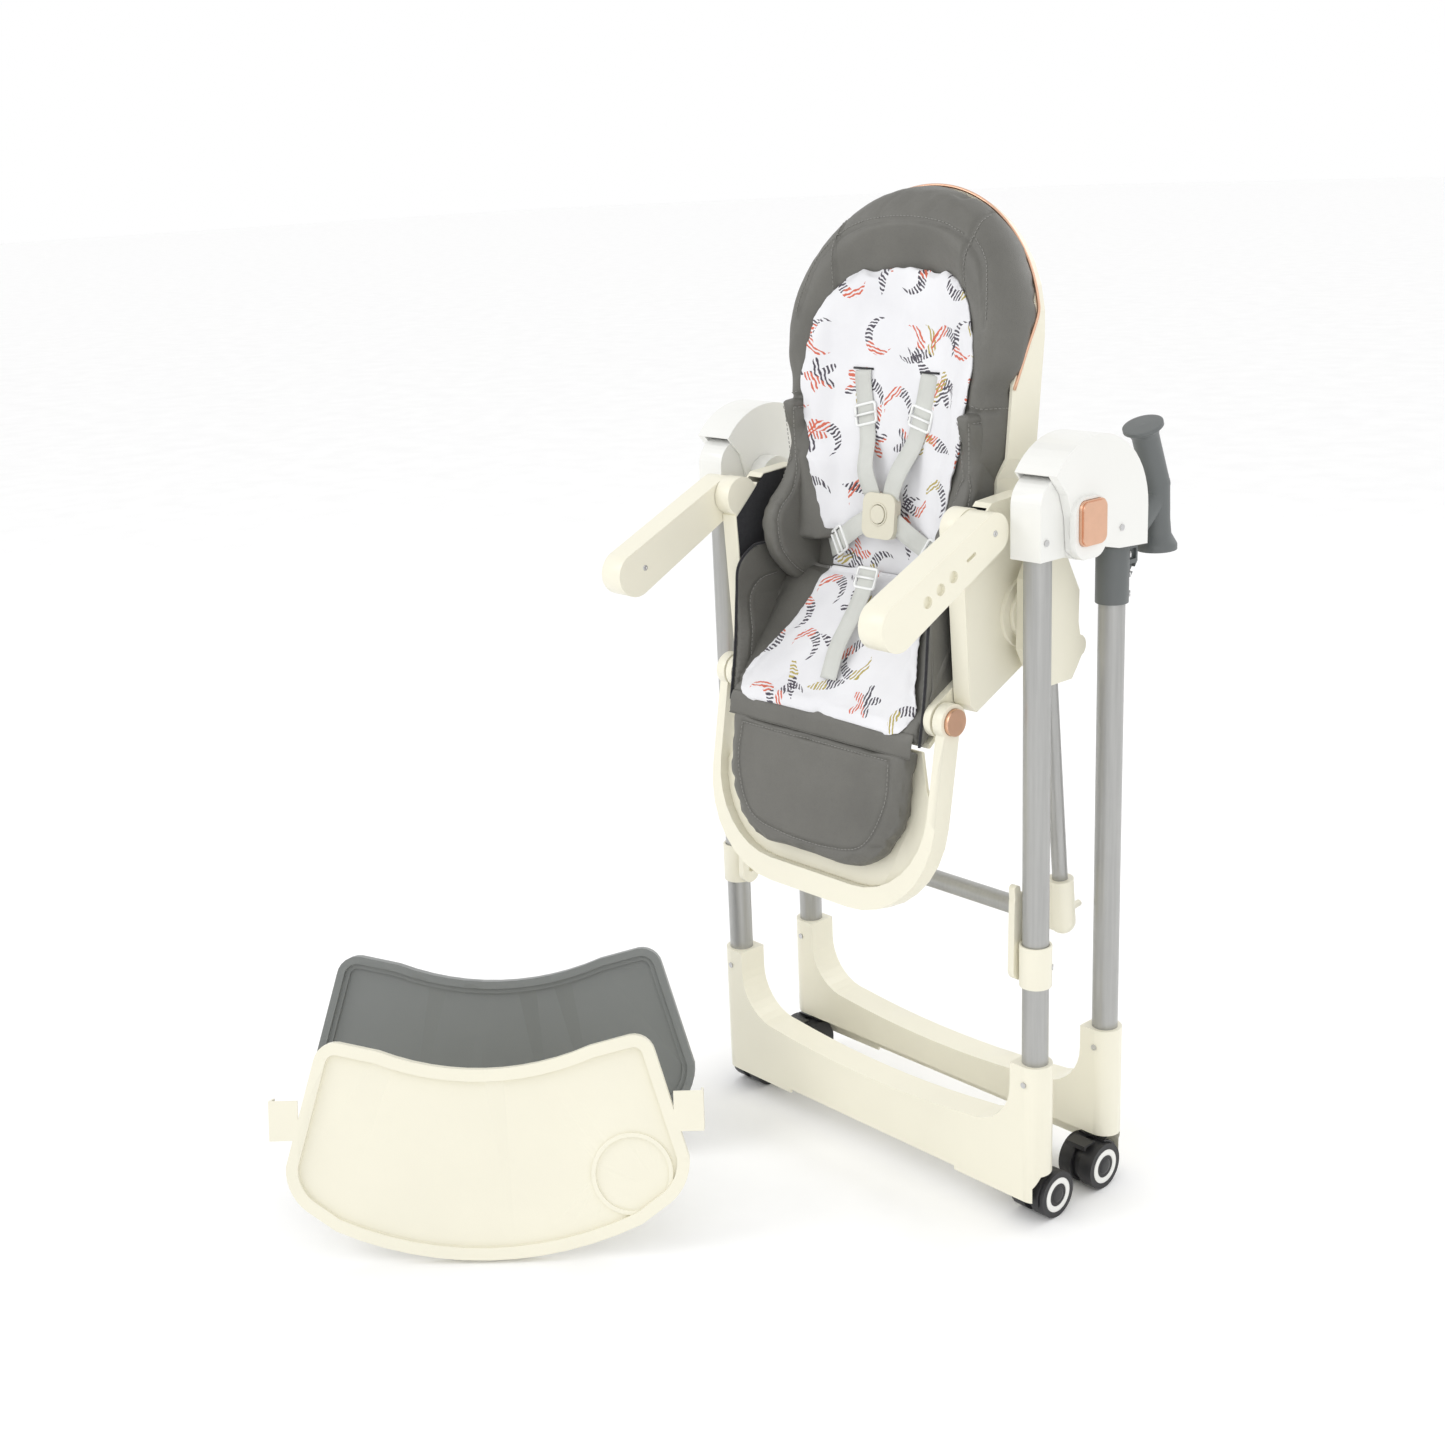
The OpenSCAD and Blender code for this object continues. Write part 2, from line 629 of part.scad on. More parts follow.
at_origin() grip_bracket();  // grip_bracket_right
at_origin() mirror([1, 0, 0]) push_handle();  // push_handle_left
at_origin() push_handle();  // push_handle_right
at_origin() rear_rivets();
at_origin() mirror([1, 0, 0]) fold_button();  // fold_button_left
at_origin() fold_button();  // fold_button_right
at_origin() at_corner(1, -1) caster_fork();  // caster_fork_front_left
at_origin() at_corner(1, 1) caster_fork();  // caster_fork_front_right
at_origin() at_corner(-1, -1) caster_fork();  // caster_fork_rear_left
at_origin() at_corner(-1, 1) caster_fork();  // caster_fork_rear_right
at_origin() at_corner(1, -1) caster_wheels();  // caster_wheels_front_left
at_origin() at_corner(1, 1) caster_wheels();  // caster_wheels_front_right
at_origin() at_corner(-1, -1) caster_wheels();  // caster_wheels_rear_left
at_origin() at_corner(-1, 1) caster_wheels();  // caster_wheels_rear_right
at_origin() at_corner(-1, -1) brake_lever();  // brake_lever_left
at_origin() at_corner(-1, 1) brake_lever();  // brake_lever_right
at_origin() mirror([1, 0, 0]) carriage();  // carriage_left
at_origin() carriage();  // carriage_right
at_origin() seat_shell();
at_origin() mirror([1, 0, 0]) side_panel();  // side_panel_left
at_origin() side_panel();  // side_panel_right
at_origin() side_lining();
at_origin() seat_pad();
at_origin() seat_liner();
at_origin() crotch_strap();
at_origin() backrest_shell();
at_origin() backrest_pad();
at_origin() back_liner();
at_origin() harness_straps();
at_origin() buckle();
at_origin() buckle_button();
at_origin() footrest_loop();
at_origin() footrest_board();
at_origin() calf_pad();
at_origin() mirror([1, 0, 0]) footrest_button();  // footrest_button_left
at_origin() footrest_button();  // footrest_button_right
at_origin() mirror([1, 0, 0]) armrest();  // armrest_left
at_origin() armrest();  // armrest_right
at_origin() tray_base();
at_origin() tray_cover();
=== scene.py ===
# Folding baby high chair: soft goods, materials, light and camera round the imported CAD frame.
# Positions and outlines are in millimetres in the chair's own axes: x across, 0 in the middle;
# y back from the front casters' swivel axes; z up from the floor. Voxels, caps, tape and thread
# radii, seam depths and lifts are in metres, as Blender takes them.
import json
import math

import bmesh
import bpy
import numpy as np
from mathutils import Matrix, Vector
from mathutils.bvhtree import BVHTree


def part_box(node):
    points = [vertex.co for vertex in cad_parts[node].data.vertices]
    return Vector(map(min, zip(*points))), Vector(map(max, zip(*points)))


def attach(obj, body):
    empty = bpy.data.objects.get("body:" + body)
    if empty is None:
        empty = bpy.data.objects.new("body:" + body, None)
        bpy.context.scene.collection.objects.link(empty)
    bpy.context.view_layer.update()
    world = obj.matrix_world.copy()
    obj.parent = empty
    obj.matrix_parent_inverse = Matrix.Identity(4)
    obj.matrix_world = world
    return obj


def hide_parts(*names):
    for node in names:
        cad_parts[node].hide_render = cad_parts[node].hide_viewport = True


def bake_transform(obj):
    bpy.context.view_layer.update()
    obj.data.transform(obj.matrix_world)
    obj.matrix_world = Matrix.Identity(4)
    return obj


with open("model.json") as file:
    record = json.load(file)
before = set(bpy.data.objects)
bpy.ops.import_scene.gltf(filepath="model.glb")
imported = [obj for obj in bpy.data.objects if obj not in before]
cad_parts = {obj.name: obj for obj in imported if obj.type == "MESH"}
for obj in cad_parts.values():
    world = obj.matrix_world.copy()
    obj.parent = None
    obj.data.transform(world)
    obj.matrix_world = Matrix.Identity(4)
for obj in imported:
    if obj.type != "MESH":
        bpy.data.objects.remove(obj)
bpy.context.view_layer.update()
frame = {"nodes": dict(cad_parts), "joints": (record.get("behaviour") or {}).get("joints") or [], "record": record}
SCENE = bpy.context.scene

# ---- chair axes ------------------------------------------------------------------------------
swivels = {j["name"]: j["pos_m"] for j in frame["joints"] if j["name"].startswith("caster_swivel")}
LEFT, RIGHT = swivels["caster_swivel_front_left"], swivels["caster_swivel_front_right"]
ORIGIN = Vector(((LEFT[0] + RIGHT[0]) / 2, (LEFT[1] + RIGHT[1]) / 2, 0))


def chair(x, y, z):
    """A point in the chair's own axes, in the scene's metres."""
    return ORIGIN + Vector((x, y, z)) / 1000


LEAN = math.radians(6.5)
HINGE_Y, HINGE_Z = 78, 722
BACK_Y = Vector((0, math.cos(LEAN), -math.sin(LEAN)))
BACK_Z = Vector((0, math.sin(LEAN), math.cos(LEAN)))
SIDES = ((-1, "left"), (1, "right"))


def back(x, y, z):
    """A point in the backrest's own axes, which lean from the recline hinge."""
    return chair(x, HINGE_Y, HINGE_Z) + (BACK_Y * y + BACK_Z * z) / 1000


# ---- camera, light, floor --------------------------------------------------------------------
CAMERA_ANGLES = (48.57, 16.73, -2.57)    # azimuth, look down and roll, in degrees
CAMERA_AT = (1479.3, -1538.7, 1202.4)
SENSOR, LENS = 36, 47.17
FLOOR_HALF, FLOOR_DROP = 40, 0.0005


def make_camera():
    azimuth, down, roll = (math.radians(a) for a in CAMERA_ANGLES)
    forward = Vector((-math.sin(azimuth) * math.cos(down), math.cos(azimuth) * math.cos(down),
                      -math.sin(down)))
    right = Vector((math.cos(azimuth), math.sin(azimuth), 0))
    up = right.cross(forward)
    r = right * math.cos(roll) + up * math.sin(roll)
    u = up * math.cos(roll) - right * math.sin(roll)
    camera = bpy.data.objects.new("camera", bpy.data.cameras.new("camera"))
    SCENE.collection.objects.link(camera)
    matrix = Matrix((r, u, -forward)).transposed().to_4x4()
    matrix.translation = chair(*CAMERA_AT)
    camera.matrix_world = matrix
    camera.data.sensor_width, camera.data.lens = SENSOR, LENS
    camera.data.clip_start, camera.data.clip_end = 0.05, 50
    SCENE.camera = camera


def area_light(name, place, target, size, power):
    light = bpy.data.lights.new(name, "AREA")
    light.shape, light.size, light.energy = "SQUARE", size, power
    o = bpy.data.objects.new(name, light)
    SCENE.collection.objects.link(o)
    o.location = place
    o.rotation_euler = (Vector(target) - Vector(place)).to_track_quat("-Z", "Y").to_euler()


def make_stage():
    world = bpy.data.worlds.new("studio")
    SCENE.world = world
    world.use_nodes = True
    ground = world.node_tree.nodes["Background"]
    ground.inputs["Color"].default_value = (1, 1, 1, 1)
    ground.inputs["Strength"].default_value = 1.0
    middle = (0.0, 0.0, 0.6)
    area_light("key", (-1.6, -2.6, 2.6), middle, 1.8, 26)
    area_light("fill", (2.8, -1.2, 1.6), middle, 2.2, 9)
    area_light("rim", (0.6, 2.8, 2.4), middle, 1.8, 16)
    mesh = bpy.data.meshes.new("floor")
    corners = [(x * FLOOR_HALF, y * FLOOR_HALF, 0) for x, y in ((-1, -1), (1, -1), (1, 1), (-1, 1))]
    mesh.from_pydata(corners, [], [(0, 1, 2, 3)])
    floor = bpy.data.objects.new("floor", mesh)
    SCENE.collection.objects.link(floor)
    floor.location.z = -FLOOR_DROP
    mesh.materials.append(plastic("floor_paint", (0.99, 0.99, 0.99), 0.8, grain=40, bump=0.01))


# ---- materials -------------------------------------------------------------------------------
class Nodes:
    """A short way to add and join shader nodes."""

    def __init__(self, name):
        self.material = bpy.data.materials.new(name)
        self.material.use_nodes = True
        self.tree = self.material.node_tree
        self.shader = self.tree.nodes["Principled BSDF"]
        self.place = self.add("ShaderNodeTexCoord").outputs["Object"]

    def add(self, kind, inputs=None, **facts):
        node = self.tree.nodes.new(kind)
        for k, v in facts.items():
            setattr(node, k, v)
        for k, v in (inputs or {}).items():
            if isinstance(v, bpy.types.NodeSocket):
                self.tree.links.new(v, node.inputs[k])
            else:
                node.inputs[k].default_value = v
        return node

    def math(self, operation, a, b=0.0, c=0.0):
        return self.add("ShaderNodeMath", {0: a, 1: b, 2: c}, operation=operation).outputs[0]

    def noise(self, scale, detail=3.0, rough=0.5, stretch=None, at=None):
        where = at or self.place
        if stretch:
            where = self.add("ShaderNodeMapping", {"Vector": where, "Scale": stretch}).outputs[0]
        facts = {"Vector": where, "Scale": scale, "Detail": detail, "Roughness": rough}
        return self.add("ShaderNodeTexNoise", facts).outputs["Fac"]

    def spread(self, value, low, high, a=0.3, b=0.7):
        """Maps value from the range a..b onto low..high."""
        facts = {"Value": value, "From Min": a, "From Max": b, "To Min": low, "To Max": high}
        return self.add("ShaderNodeMapRange", facts).outputs[0]

    def mix(self, factor, a, b, blend="MIX"):
        node = self.add("ShaderNodeMix", data_type="RGBA", blend_type=blend)
        for socket, v in zip((node.inputs[0], node.inputs[6], node.inputs[7]), (factor, a, b)):
            if isinstance(v, bpy.types.NodeSocket):
                self.tree.links.new(v, socket)
            else:
                socket.default_value = v
        return node.outputs[2]

    def join(self, value, socket):
        self.tree.links.new(value, self.shader.inputs[socket])

    def relief(self, height, strength, distance):
        bump = self.add("ShaderNodeBump", {"Height": height, "Strength": strength, "Distance": distance})
        self.join(bump.outputs[0], "Normal")


def tint(colour, k):
    """An opaque colour made k times as bright."""
    return tuple(min(1, c * k) for c in colour) + (1,)


def plastic(name, colour, rough, grain=900, bump=0.12, coat=0.0):
    """Moulded plastic: fine spark-eroded grain, faint flow mottling, scuffs in the gloss."""
    n = Nodes(name)
    mottle = n.noise(7, 4)
    base = n.mix(n.spread(mottle, 0, 1), tint(colour, 0.97), tint(colour, 1.015))
    scuff = n.noise(60, 6, 0.7)
    n.join(n.mix(n.spread(scuff, 0, 0.08, 0.68, 0.84), base, tint(colour, 0.92)), "Base Color")
    n.join(n.spread(n.noise(30, 5, 0.65), rough * 0.92, rough * 1.12), "Roughness")
    n.relief(n.noise(grain, 2), bump, 0.0006)
    n.shader.inputs["Coat Weight"].default_value = coat
    return n.material


def tube_paint(name, colour):
    """Powder-coated steel tube with fine orange peel and light drawn streaks along it."""
    n = Nodes(name)
    streak = n.noise(30, 4, 0.6, stretch=(9, 9, 0.35))
    base = n.mix(n.spread(streak, 0, 1), tint(colour, 0.93), tint(colour, 1.05))
    n.join(n.mix(n.spread(n.noise(45, 6, 0.7), 0, 0.3, 0.66, 0.82), base, tint(colour, 0.75)), "Base Color")
    n.join(n.spread(n.noise(80, 3), 0.3, 0.42), "Roughness")
    n.relief(n.noise(700, 3), 0.12, 0.0004)
    n.shader.inputs["Metallic"].default_value = 0.55
    return n.material


def metal(name, colour, rough):
    """Brushed metal, with a clouded tone and fine drawn lines."""
    n = Nodes(name)
    n.join(n.mix(n.spread(n.noise(50, 5, 0.6), 0, 1), tint(colour, 0.95), tint(colour, 1.04)), "Base Color")
    n.join(n.spread(n.noise(140, 5, 0.6), rough * 0.9, rough * 1.12), "Roughness")
    n.relief(n.noise(900, 2, stretch=(1, 1, 0.2)), 0.08, 0.0003)
    n.shader.inputs["Metallic"].default_value = 1.0
    return n.material


def leather(name, colour):
    """Coated leather cloth: pebble grain and soft creases, with painted shade darkening the grain's valleys."""
    n = Nodes(name)
    warp = n.noise(90, 3)
    shift = n.add("ShaderNodeCombineXYZ", {0: n.math("MULTIPLY", warp, 0.006)}).outputs[0]
    where = n.add("ShaderNodeVectorMath", {0: n.place, 1: shift}, operation="ADD").outputs[0]
    pebble = n.add("ShaderNodeTexVoronoi", {"Vector": where, "Scale": 620.0}, feature="DISTANCE_TO_EDGE")
    grain = n.math("MINIMUM", n.math("MULTIPLY", pebble.outputs["Distance"], 3.2), 1.0)
    cloudy = n.mix(n.spread(n.noise(9, 5, 0.6), 0, 1), tint(colour, 0.86), tint(colour, 1.12))
    # painted shade: the colour darkens in the grain's valleys, where the bump is low
    n.join(n.mix(n.spread(grain, 0.28, 0, 0, 0.5), cloudy, tint(colour, 0.62)), "Base Color")
    n.join(n.spread(n.noise(22, 5, 0.6), 0.4, 0.55), "Roughness")
    crease = n.noise(55, 5, 0.6, stretch=(1, 1, 0.5))
    n.relief(n.math("ADD", n.math("MULTIPLY", grain, 0.35), n.math("MULTIPLY", crease, 1.1)), 0.35, 0.0008)
    return n.material


def weave(n, period):
    """Over-and-under threads on X and on the up-and-back direction, with those two coordinates."""
    split = n.add("ShaderNodeSeparateXYZ", {0: n.place})
    k = 2 * math.pi / period
    v = n.math("ADD", split.outputs[2], n.math("MULTIPLY", split.outputs[1], 0.7))
    u = split.outputs[0]
    a = n.math("ABSOLUTE", n.math("SINE", n.math("MULTIPLY", u, k / 2)))
    b = n.math("ABSOLUTE", n.math("SINE", n.math("MULTIPLY", v, k / 2)))
    return n.math("MULTIPLY", a, b), u, v


def cloth(name, colour, period=0.0011):
    """Plain woven cloth with a slightly clouded tone."""
    n = Nodes(name)
    threads, _, _ = weave(n, period)
    cloudy = n.mix(n.spread(n.noise(12, 5, 0.6), 0, 1), tint(colour, 0.9), tint(colour, 1.06))
    # painted shade: the colour darkens in the gaps between the threads, where the bump is low
    n.join(n.mix(n.spread(threads, 0.22, 0, 0, 0.7), cloudy, tint(colour, 0.6)), "Base Color")
    n.join(n.spread(n.noise(200, 3), 0.75, 0.92), "Roughness")
    n.relief(n.math("ADD", threads, n.math("MULTIPLY", n.noise(35, 4), 1.5)), 0.35, 0.0005)
    n.shader.inputs["Sheen Weight"].default_value = 0.25
    return n.material


def webbing_cloth(name, colour):
    """Ribbed polyester webbing."""
    n = Nodes(name)
    threads, u, v = weave(n, 0.0016)
    rib = n.math("ABSOLUTE", n.math("SINE", n.math("MULTIPLY", n.math("ADD", u, v), 1900.0)))
    cloudy = n.mix(n.spread(n.noise(25, 4), 0, 1), tint(colour, 0.93), tint(colour, 1.05))
    # painted shade: the colour darkens in the grooves between the ribs, where the bump is low
    n.join(n.mix(n.spread(rib, 0.2, 0, 0, 0.6), cloudy, tint(colour, 0.7)), "Base Color")
    n.join(n.spread(n.noise(120, 3), 0.5, 0.68), "Roughness")
    n.relief(n.math("ADD", rib, threads), 0.3, 0.0004)
    return n.material


MOTIF_LAYERS = ((0.0, 17.0), (3.7, 15.0))       # shift of the cells, and cells per metre
CRESCENT_R, BITE_R, BITE_SHIFT = 0.0215, 0.0178, 0.0085
STAR_CORE, STAR_ARM, STAR_ARMS = 0.009, 0.013, 5
LEAF_HALF, LEAF_LENGTH = 0.0065, 0.03
STAR_FROM, LEAF_FROM, BARE_BELOW = 0.55, 0.76, 0.15   # of a cell's random value
RED_INK, GOLD_INK, DARK_INK = (0.62, 0.1, 0.035, 1), (0.42, 0.33, 0.05, 1), (0.02, 0.01, 0.03, 1)


def printed_cloth(name, axis_v):
    """White cotton with scattered hand-drawn crescents, five-armed figures and leaves in three inks."""
    n = Nodes(name)

    def add(a, b):
        return n.math("ADD", a, b)

    def times(a, b):
        return n.math("MULTIPLY", a, b)

    def above(a, b):
        return n.math("GREATER_THAN", a, b)

    def below(a, b):
        return n.math("LESS_THAN", a, b)

    def radius(a, b):
        return n.math("SQRT", add(times(a, a), times(b, b)))

    threads = weave(n, 0.0009)[0]
    split = n.add("ShaderNodeSeparateXYZ", {0: n.place})
    v = add(times(split.outputs[1], axis_v[0]), times(split.outputs[2], axis_v[1]))
    base = n.mix(n.spread(n.noise(10, 4), 0, 1), (0.76, 0.76, 0.785, 1), (0.84, 0.84, 0.86, 1))
    for shift, size in MOTIF_LAYERS:
        corner = {0: add(split.outputs[0], shift), 1: add(v, shift * 2)}
        flat = n.add("ShaderNodeCombineXYZ", corner).outputs[0]
        cell = n.add("ShaderNodeTexVoronoi", {"Vector": flat, "Scale": size, "Randomness": 0.72},
                     voronoi_dimensions="2D")
        away = n.add("ShaderNodeVectorMath", {0: flat, 1: cell.outputs["Position"]},
                     operation="SUBTRACT").outputs[0]
        pick = n.add("ShaderNodeSeparateColor", {0: cell.outputs["Color"]})
        turn = n.add("ShaderNodeVectorRotate", {"Vector": away, "Angle": times(pick.outputs[0], 6.28)},
                     rotation_type="Z_AXIS").outputs[0]
        wobble = n.noise(90, 2, at=flat)
        part = n.add("ShaderNodeSeparateXYZ", {0: turn})
        px = add(part.outputs[0], times(n.math("SUBTRACT", wobble, 0.5), 0.006))
        py = part.outputs[1]
        # a crescent: inside one circle, outside another set to its side
        r1 = radius(px, py)
        r2 = radius(n.math("SUBTRACT", px, BITE_SHIFT), py)
        crescent = times(below(r1, CRESCENT_R), above(r2, BITE_R))
        # a five-armed figure and a long leaf
        angle = n.math("ARCTAN2", py, px)
        arm = n.math("ABSOLUTE", n.math("COSINE", times(angle, STAR_ARMS / 2)))
        star = below(r1, add(times(times(arm, arm), STAR_ARM), STAR_CORE))
        along = times(py, 1 / LEAF_LENGTH)
        leaf = below(n.math("ABSOLUTE", px), times(n.math("SUBTRACT", 1.0, times(along, along)), LEAF_HALF))
        kind = pick.outputs[1]
        shape = n.mix(above(kind, STAR_FROM), crescent, star)
        shape = n.mix(above(kind, LEAF_FROM), shape, leaf)
        # fine strokes across it
        stroke = n.math("SINE", times(add(add(py, times(px, 0.6)), times(wobble, 0.005)), 1250.0))
        drawn = times(shape, above(stroke, -0.05))
        drawn = times(drawn, above(kind, BARE_BELOW))
        warm = n.mix(above(pick.outputs[2], 0.8), RED_INK, GOLD_INK)
        colour = n.mix(above(add(py, times(wobble, 0.006)), 0.002), warm, DARK_INK)
        base = n.mix(times(drawn, 0.97), base, colour)
    # painted shade: the colour greys in the gaps between the threads, where the bump is low
    n.join(n.mix(n.spread(threads, 0.1, 0, 0, 0.7), base, (0.6, 0.6, 0.64, 1)), "Base Color")
    n.join(n.spread(n.noise(150, 3), 0.7, 0.9), "Roughness")
    n.relief(add(threads, times(n.noise(60, 4), 2.0)), 0.3, 0.0005)
    n.shader.inputs["Sheen Weight"].default_value = 0.15
    return n.material


MATERIALS = {
    "hub_white": plastic("hub_white", (0.82, 0.82, 0.79), 0.3, coat=0.1),
    "cream": plastic("cream", (0.83, 0.80, 0.665), 0.34, coat=0.1),
    "tube": tube_paint("tube", (0.42, 0.42, 0.41)),
    "dark_grey": plastic("dark_grey", (0.125, 0.135, 0.135), 0.45, bump=0.2),
    "tray_grey": plastic("tray_grey", (0.19, 0.2, 0.195), 0.42, bump=0.18),
    "leather_grey": leather("leather_grey", (0.135, 0.132, 0.118)),
    "black_cloth": cloth("black_cloth", (0.012, 0.012, 0.016)),
    "white_cloth": printed_cloth("white_cloth", (0.12, 0.99)),
    "webbing": webbing_cloth("webbing", (0.60, 0.61, 0.575)),
    "buckle_beige": plastic("buckle_beige", (0.69, 0.66, 0.54), 0.35),
    "copper": metal("copper", (0.76, 0.47, 0.33), 0.34),
    "steel": metal("steel", (0.6, 0.6, 0.6), 0.28),
    "wheel_black": plastic("wheel_black", (0.022, 0.022, 0.024), 0.5, bump=0.2),
    "black_plastic": plastic("black_plastic", (0.02, 0.02, 0.022), 0.4),
    "seat_print": printed_cloth("seat_print", (0.6, 0.8)),
    "clear_white": plastic("clear_white", (0.86, 0.87, 0.86), 0.25),
    "thread": cloth("thread", (0.27, 0.265, 0.245), 0.0006),
}


WELD, BEVEL, BEVEL_SHARE, BEVEL_ANGLE = 0.00002, 0.0012, 0.06, 38


def dress_cad():
    """Every carried-over CAD node gets its slot's detailed material and softened edges."""
    slots = {s["node"]: s["material_slot"] for s in frame["record"]["subparts"]}
    for name, o in frame["nodes"].items():
        for s in o.material_slots:
            s.material = MATERIALS[slots[name]]
        if not o.material_slots:
            o.data.materials.append(MATERIALS[slots[name]])
        weld = o.modifiers.new("weld", "WELD")
        weld.merge_threshold = WELD
        bevel = o.modifiers.new("soft_edges", "BEVEL")
        lo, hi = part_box(name)
        bevel.width = min(BEVEL, BEVEL_SHARE * min(hi - lo))
        bevel.segments, bevel.limit_method, bevel.angle_limit = 2, "ANGLE", math.radians(BEVEL_ANGLE)
        bevel.use_clamp_overlap = True


# ---- mesh helpers ----------------------------------------------------------------------------
def piece(name, verts, faces, material, slot):
    """A smooth-shaded mesh object with one material; the slot argument is not used."""
    mesh = bpy.data.meshes.new(name)
    mesh.from_pydata([tuple(v) for v in verts], [], faces)
    bm = bmesh.new()
    bm.from_mesh(mesh)
    bmesh.ops.remove_doubles(bm, verts=bm.verts, dist=1e-6)
    bmesh.ops.recalc_face_normals(bm, faces=bm.faces)
    bm.to_mesh(mesh)
    bm.free()
    mesh.polygons.foreach_set("use_smooth", [True] * len(mesh.polygons))
    mesh.materials.append(MATERIALS[material])
    o = bpy.data.objects.new(name, mesh)
    SCENE.collection.objects.link(o)
    return o


def settle(o):
    """Applies the modifiers, keeping the object, its material and its name."""
    graph = bpy.context.evaluated_depsgraph_get()
    graph.update()
    old, material = o.data, o.data.materials[0]
    mesh = bpy.data.meshes.new_from_object(o.evaluated_get(graph), depsgraph=graph)
    o.modifiers.clear()
    o.data = mesh
    mesh.materials.clear()
    mesh.materials.append(material)
    mesh.polygons.foreach_set("use_smooth", [True] * len(mesh.polygons))
    bpy.data.meshes.remove(old)
    return o


def remesh(o, voxel, smooth):
    """An even mesh of voxel size, eased smooth times."""
    m = o.modifiers.new("voxels", "REMESH")
    m.mode, m.voxel_size, m.use_smooth_shade = "VOXEL", voxel, True
    s = o.modifiers.new("ease", "SMOOTH")
    s.factor, s.iterations = 0.5, smooth
    return settle(o)


def subdivide(o):
    m = o.modifiers.new("finish", "SUBSURF")
    m.levels = m.render_levels = 1
    return settle(o)


def coords(o):
    a = np.empty(len(o.data.vertices) * 3)
    o.data.vertices.foreach_get("co", a)
    return a.reshape(-1, 3)


def set_coords(o, a):
    o.data.vertices.foreach_set("co", np.ascontiguousarray(a).ravel())
    o.data.update()


def normals(o):
    a = np.empty(len(o.data.vertices) * 3)
    o.data.vertices.foreach_get("normal", a)
    return a.reshape(-1, 3)


PUFF_FRAMES = 20


def puff(o, cap, pressure, shrink=-0.03):
    """Blows the closed cover up against its own cloth, each point moving at most cap."""
    start = coords(o)
    m = o.modifiers.new("cloth", "CLOTH")
    s = m.settings
    s.quality, s.mass, s.use_pressure, s.uniform_pressure_force = 5, 0.25, True, pressure
    s.tension_stiffness = s.compression_stiffness = 12
    s.bending_stiffness, s.shrink_min = 0.4, shrink
    s.effector_weights.gravity = 0
    m.point_cache.frame_start, m.point_cache.frame_end = 1, PUFF_FRAMES
    for f in range(1, PUFF_FRAMES + 1):
        SCENE.frame_set(f)
    graph = bpy.context.evaluated_depsgraph_get()
    e = o.evaluated_get(graph)
    end = np.array([v.co for v in e.data.vertices], float).reshape(-1, 3)
    o.modifiers.clear()
    SCENE.frame_set(1)
    move = end - start
    far = np.linalg.norm(move, axis=1, keepdims=True)
    set_coords(o, start + move * np.minimum(1, cap / np.maximum(far, 1e-9)))


def tree(o):
    return BVHTree.FromPolygons([v.co for v in o.data.vertices], [p.vertices[:] for p in o.data.polygons])


def spline(points, count):
    """Catmull-Rom through the points, count of them in all."""
    p = [Vector(q) for q in points]
    p = [p[0] * 2 - p[1]] + p + [p[-1] * 2 - p[-2]]
    out = []
    for i in range(count):
        t = i / (count - 1) * (len(p) - 3)
        k = min(int(t), len(p) - 4)
        t -= k
        a, b, c, d = p[k:k + 4]
        out.append(0.5 * (2 * b + (c - a) * t + (2 * a - 5 * b + 4 * c - d) * t * t
                          + (3 * b - a - 3 * c + d) * t ** 3))
    return out


def flat_spline(points, count):
    """The same through two-number points."""
    return spline([(a, b, 0) for a, b in points], count)


def smooth_loop(outline, count):
    """A closed outline of count - 1 points through the given ones."""
    return [(p.x, p.y) for p in flat_spline(outline + outline[:1], count)][:-1]


def sweep(points, section, up=None, closed=False):
    """Verts and faces of a section carried along points. up holds the section's second axis."""
    verts, faces, n, m = [], [], len(section), len(points)
    lead = up
    for i, p in enumerate(points):
        a = points[(i - 1) % m] if closed else points[max(i - 1, 0)]
        b = points[(i + 1) % m] if closed else points[min(i + 1, m - 1)]
        t = (b - a).normalized()
        u = up[i] if isinstance(up, list) else (lead or Vector((0, 0, 1)))
        if abs(t.dot(u.normalized())) > 0.98:
            u = Vector((0, 1, 0))
        s = t.cross(u).normalized()
        u = s.cross(t)
        if up is None:
            lead = u
        verts += [p + s * x + u * y for x, y in section]
    for i in range(m if closed else m - 1):
        for k in range(n):
            a, b = i * n + k, i * n + (k + 1) % n
            c, d = (i + 1) % m * n + (k + 1) % n, (i + 1) % m * n + k
            faces.append((a, b, c, d))
    if not closed:
        faces += [tuple(range(n))[::-1], tuple(range((m - 1) * n, m * n))]
    return verts, faces


def round_section(r, sides=10):
    turns = [2 * math.pi * k / sides for k in range(sides)]
    return [(r * math.cos(t), r * math.sin(t)) for t in turns]


def tape_section(width, thick):
    """A webbing's cross-section, thin at its edges."""
    w, t = width / 2, thick / 2
    return [(-w, 0), (-w + t * 0.6, -t), (-w * 0.4, -t * 0.9), (w * 0.4, -t * 0.9), (w - t * 0.6, -t),
            (w, 0), (w - t * 0.6, t), (w * 0.4, t * 0.9), (-w * 0.4, t * 0.9), (-w + t * 0.6, t)]


def merge(parts):
    verts, faces = [], []
    for v, f in parts:
        k = len(verts)
        verts += v
        faces += [tuple(i + k for i in face) for face in f]
    return verts, faces


def lathe(profile, centre, axis, sides=40):
    """A closed profile of (radius, height) turned round axis."""
    axis = Vector(axis).normalized()
    a = axis.orthogonal().normalized()
    b = axis.cross(a)
    verts, faces, n = [], [], len(profile)
    for i in range(sides):
        t = 2 * math.pi * i / sides
        out = a * math.cos(t) + b * math.sin(t)
        verts += [Vector(centre) + (out * r + axis * h) / 1000 for r, h in profile]
        for k in range(n - 1):
            j = (i + 1) % sides
            faces.append((i * n + k, i * n + k + 1, j * n + k + 1, j * n + k))
    return verts, faces


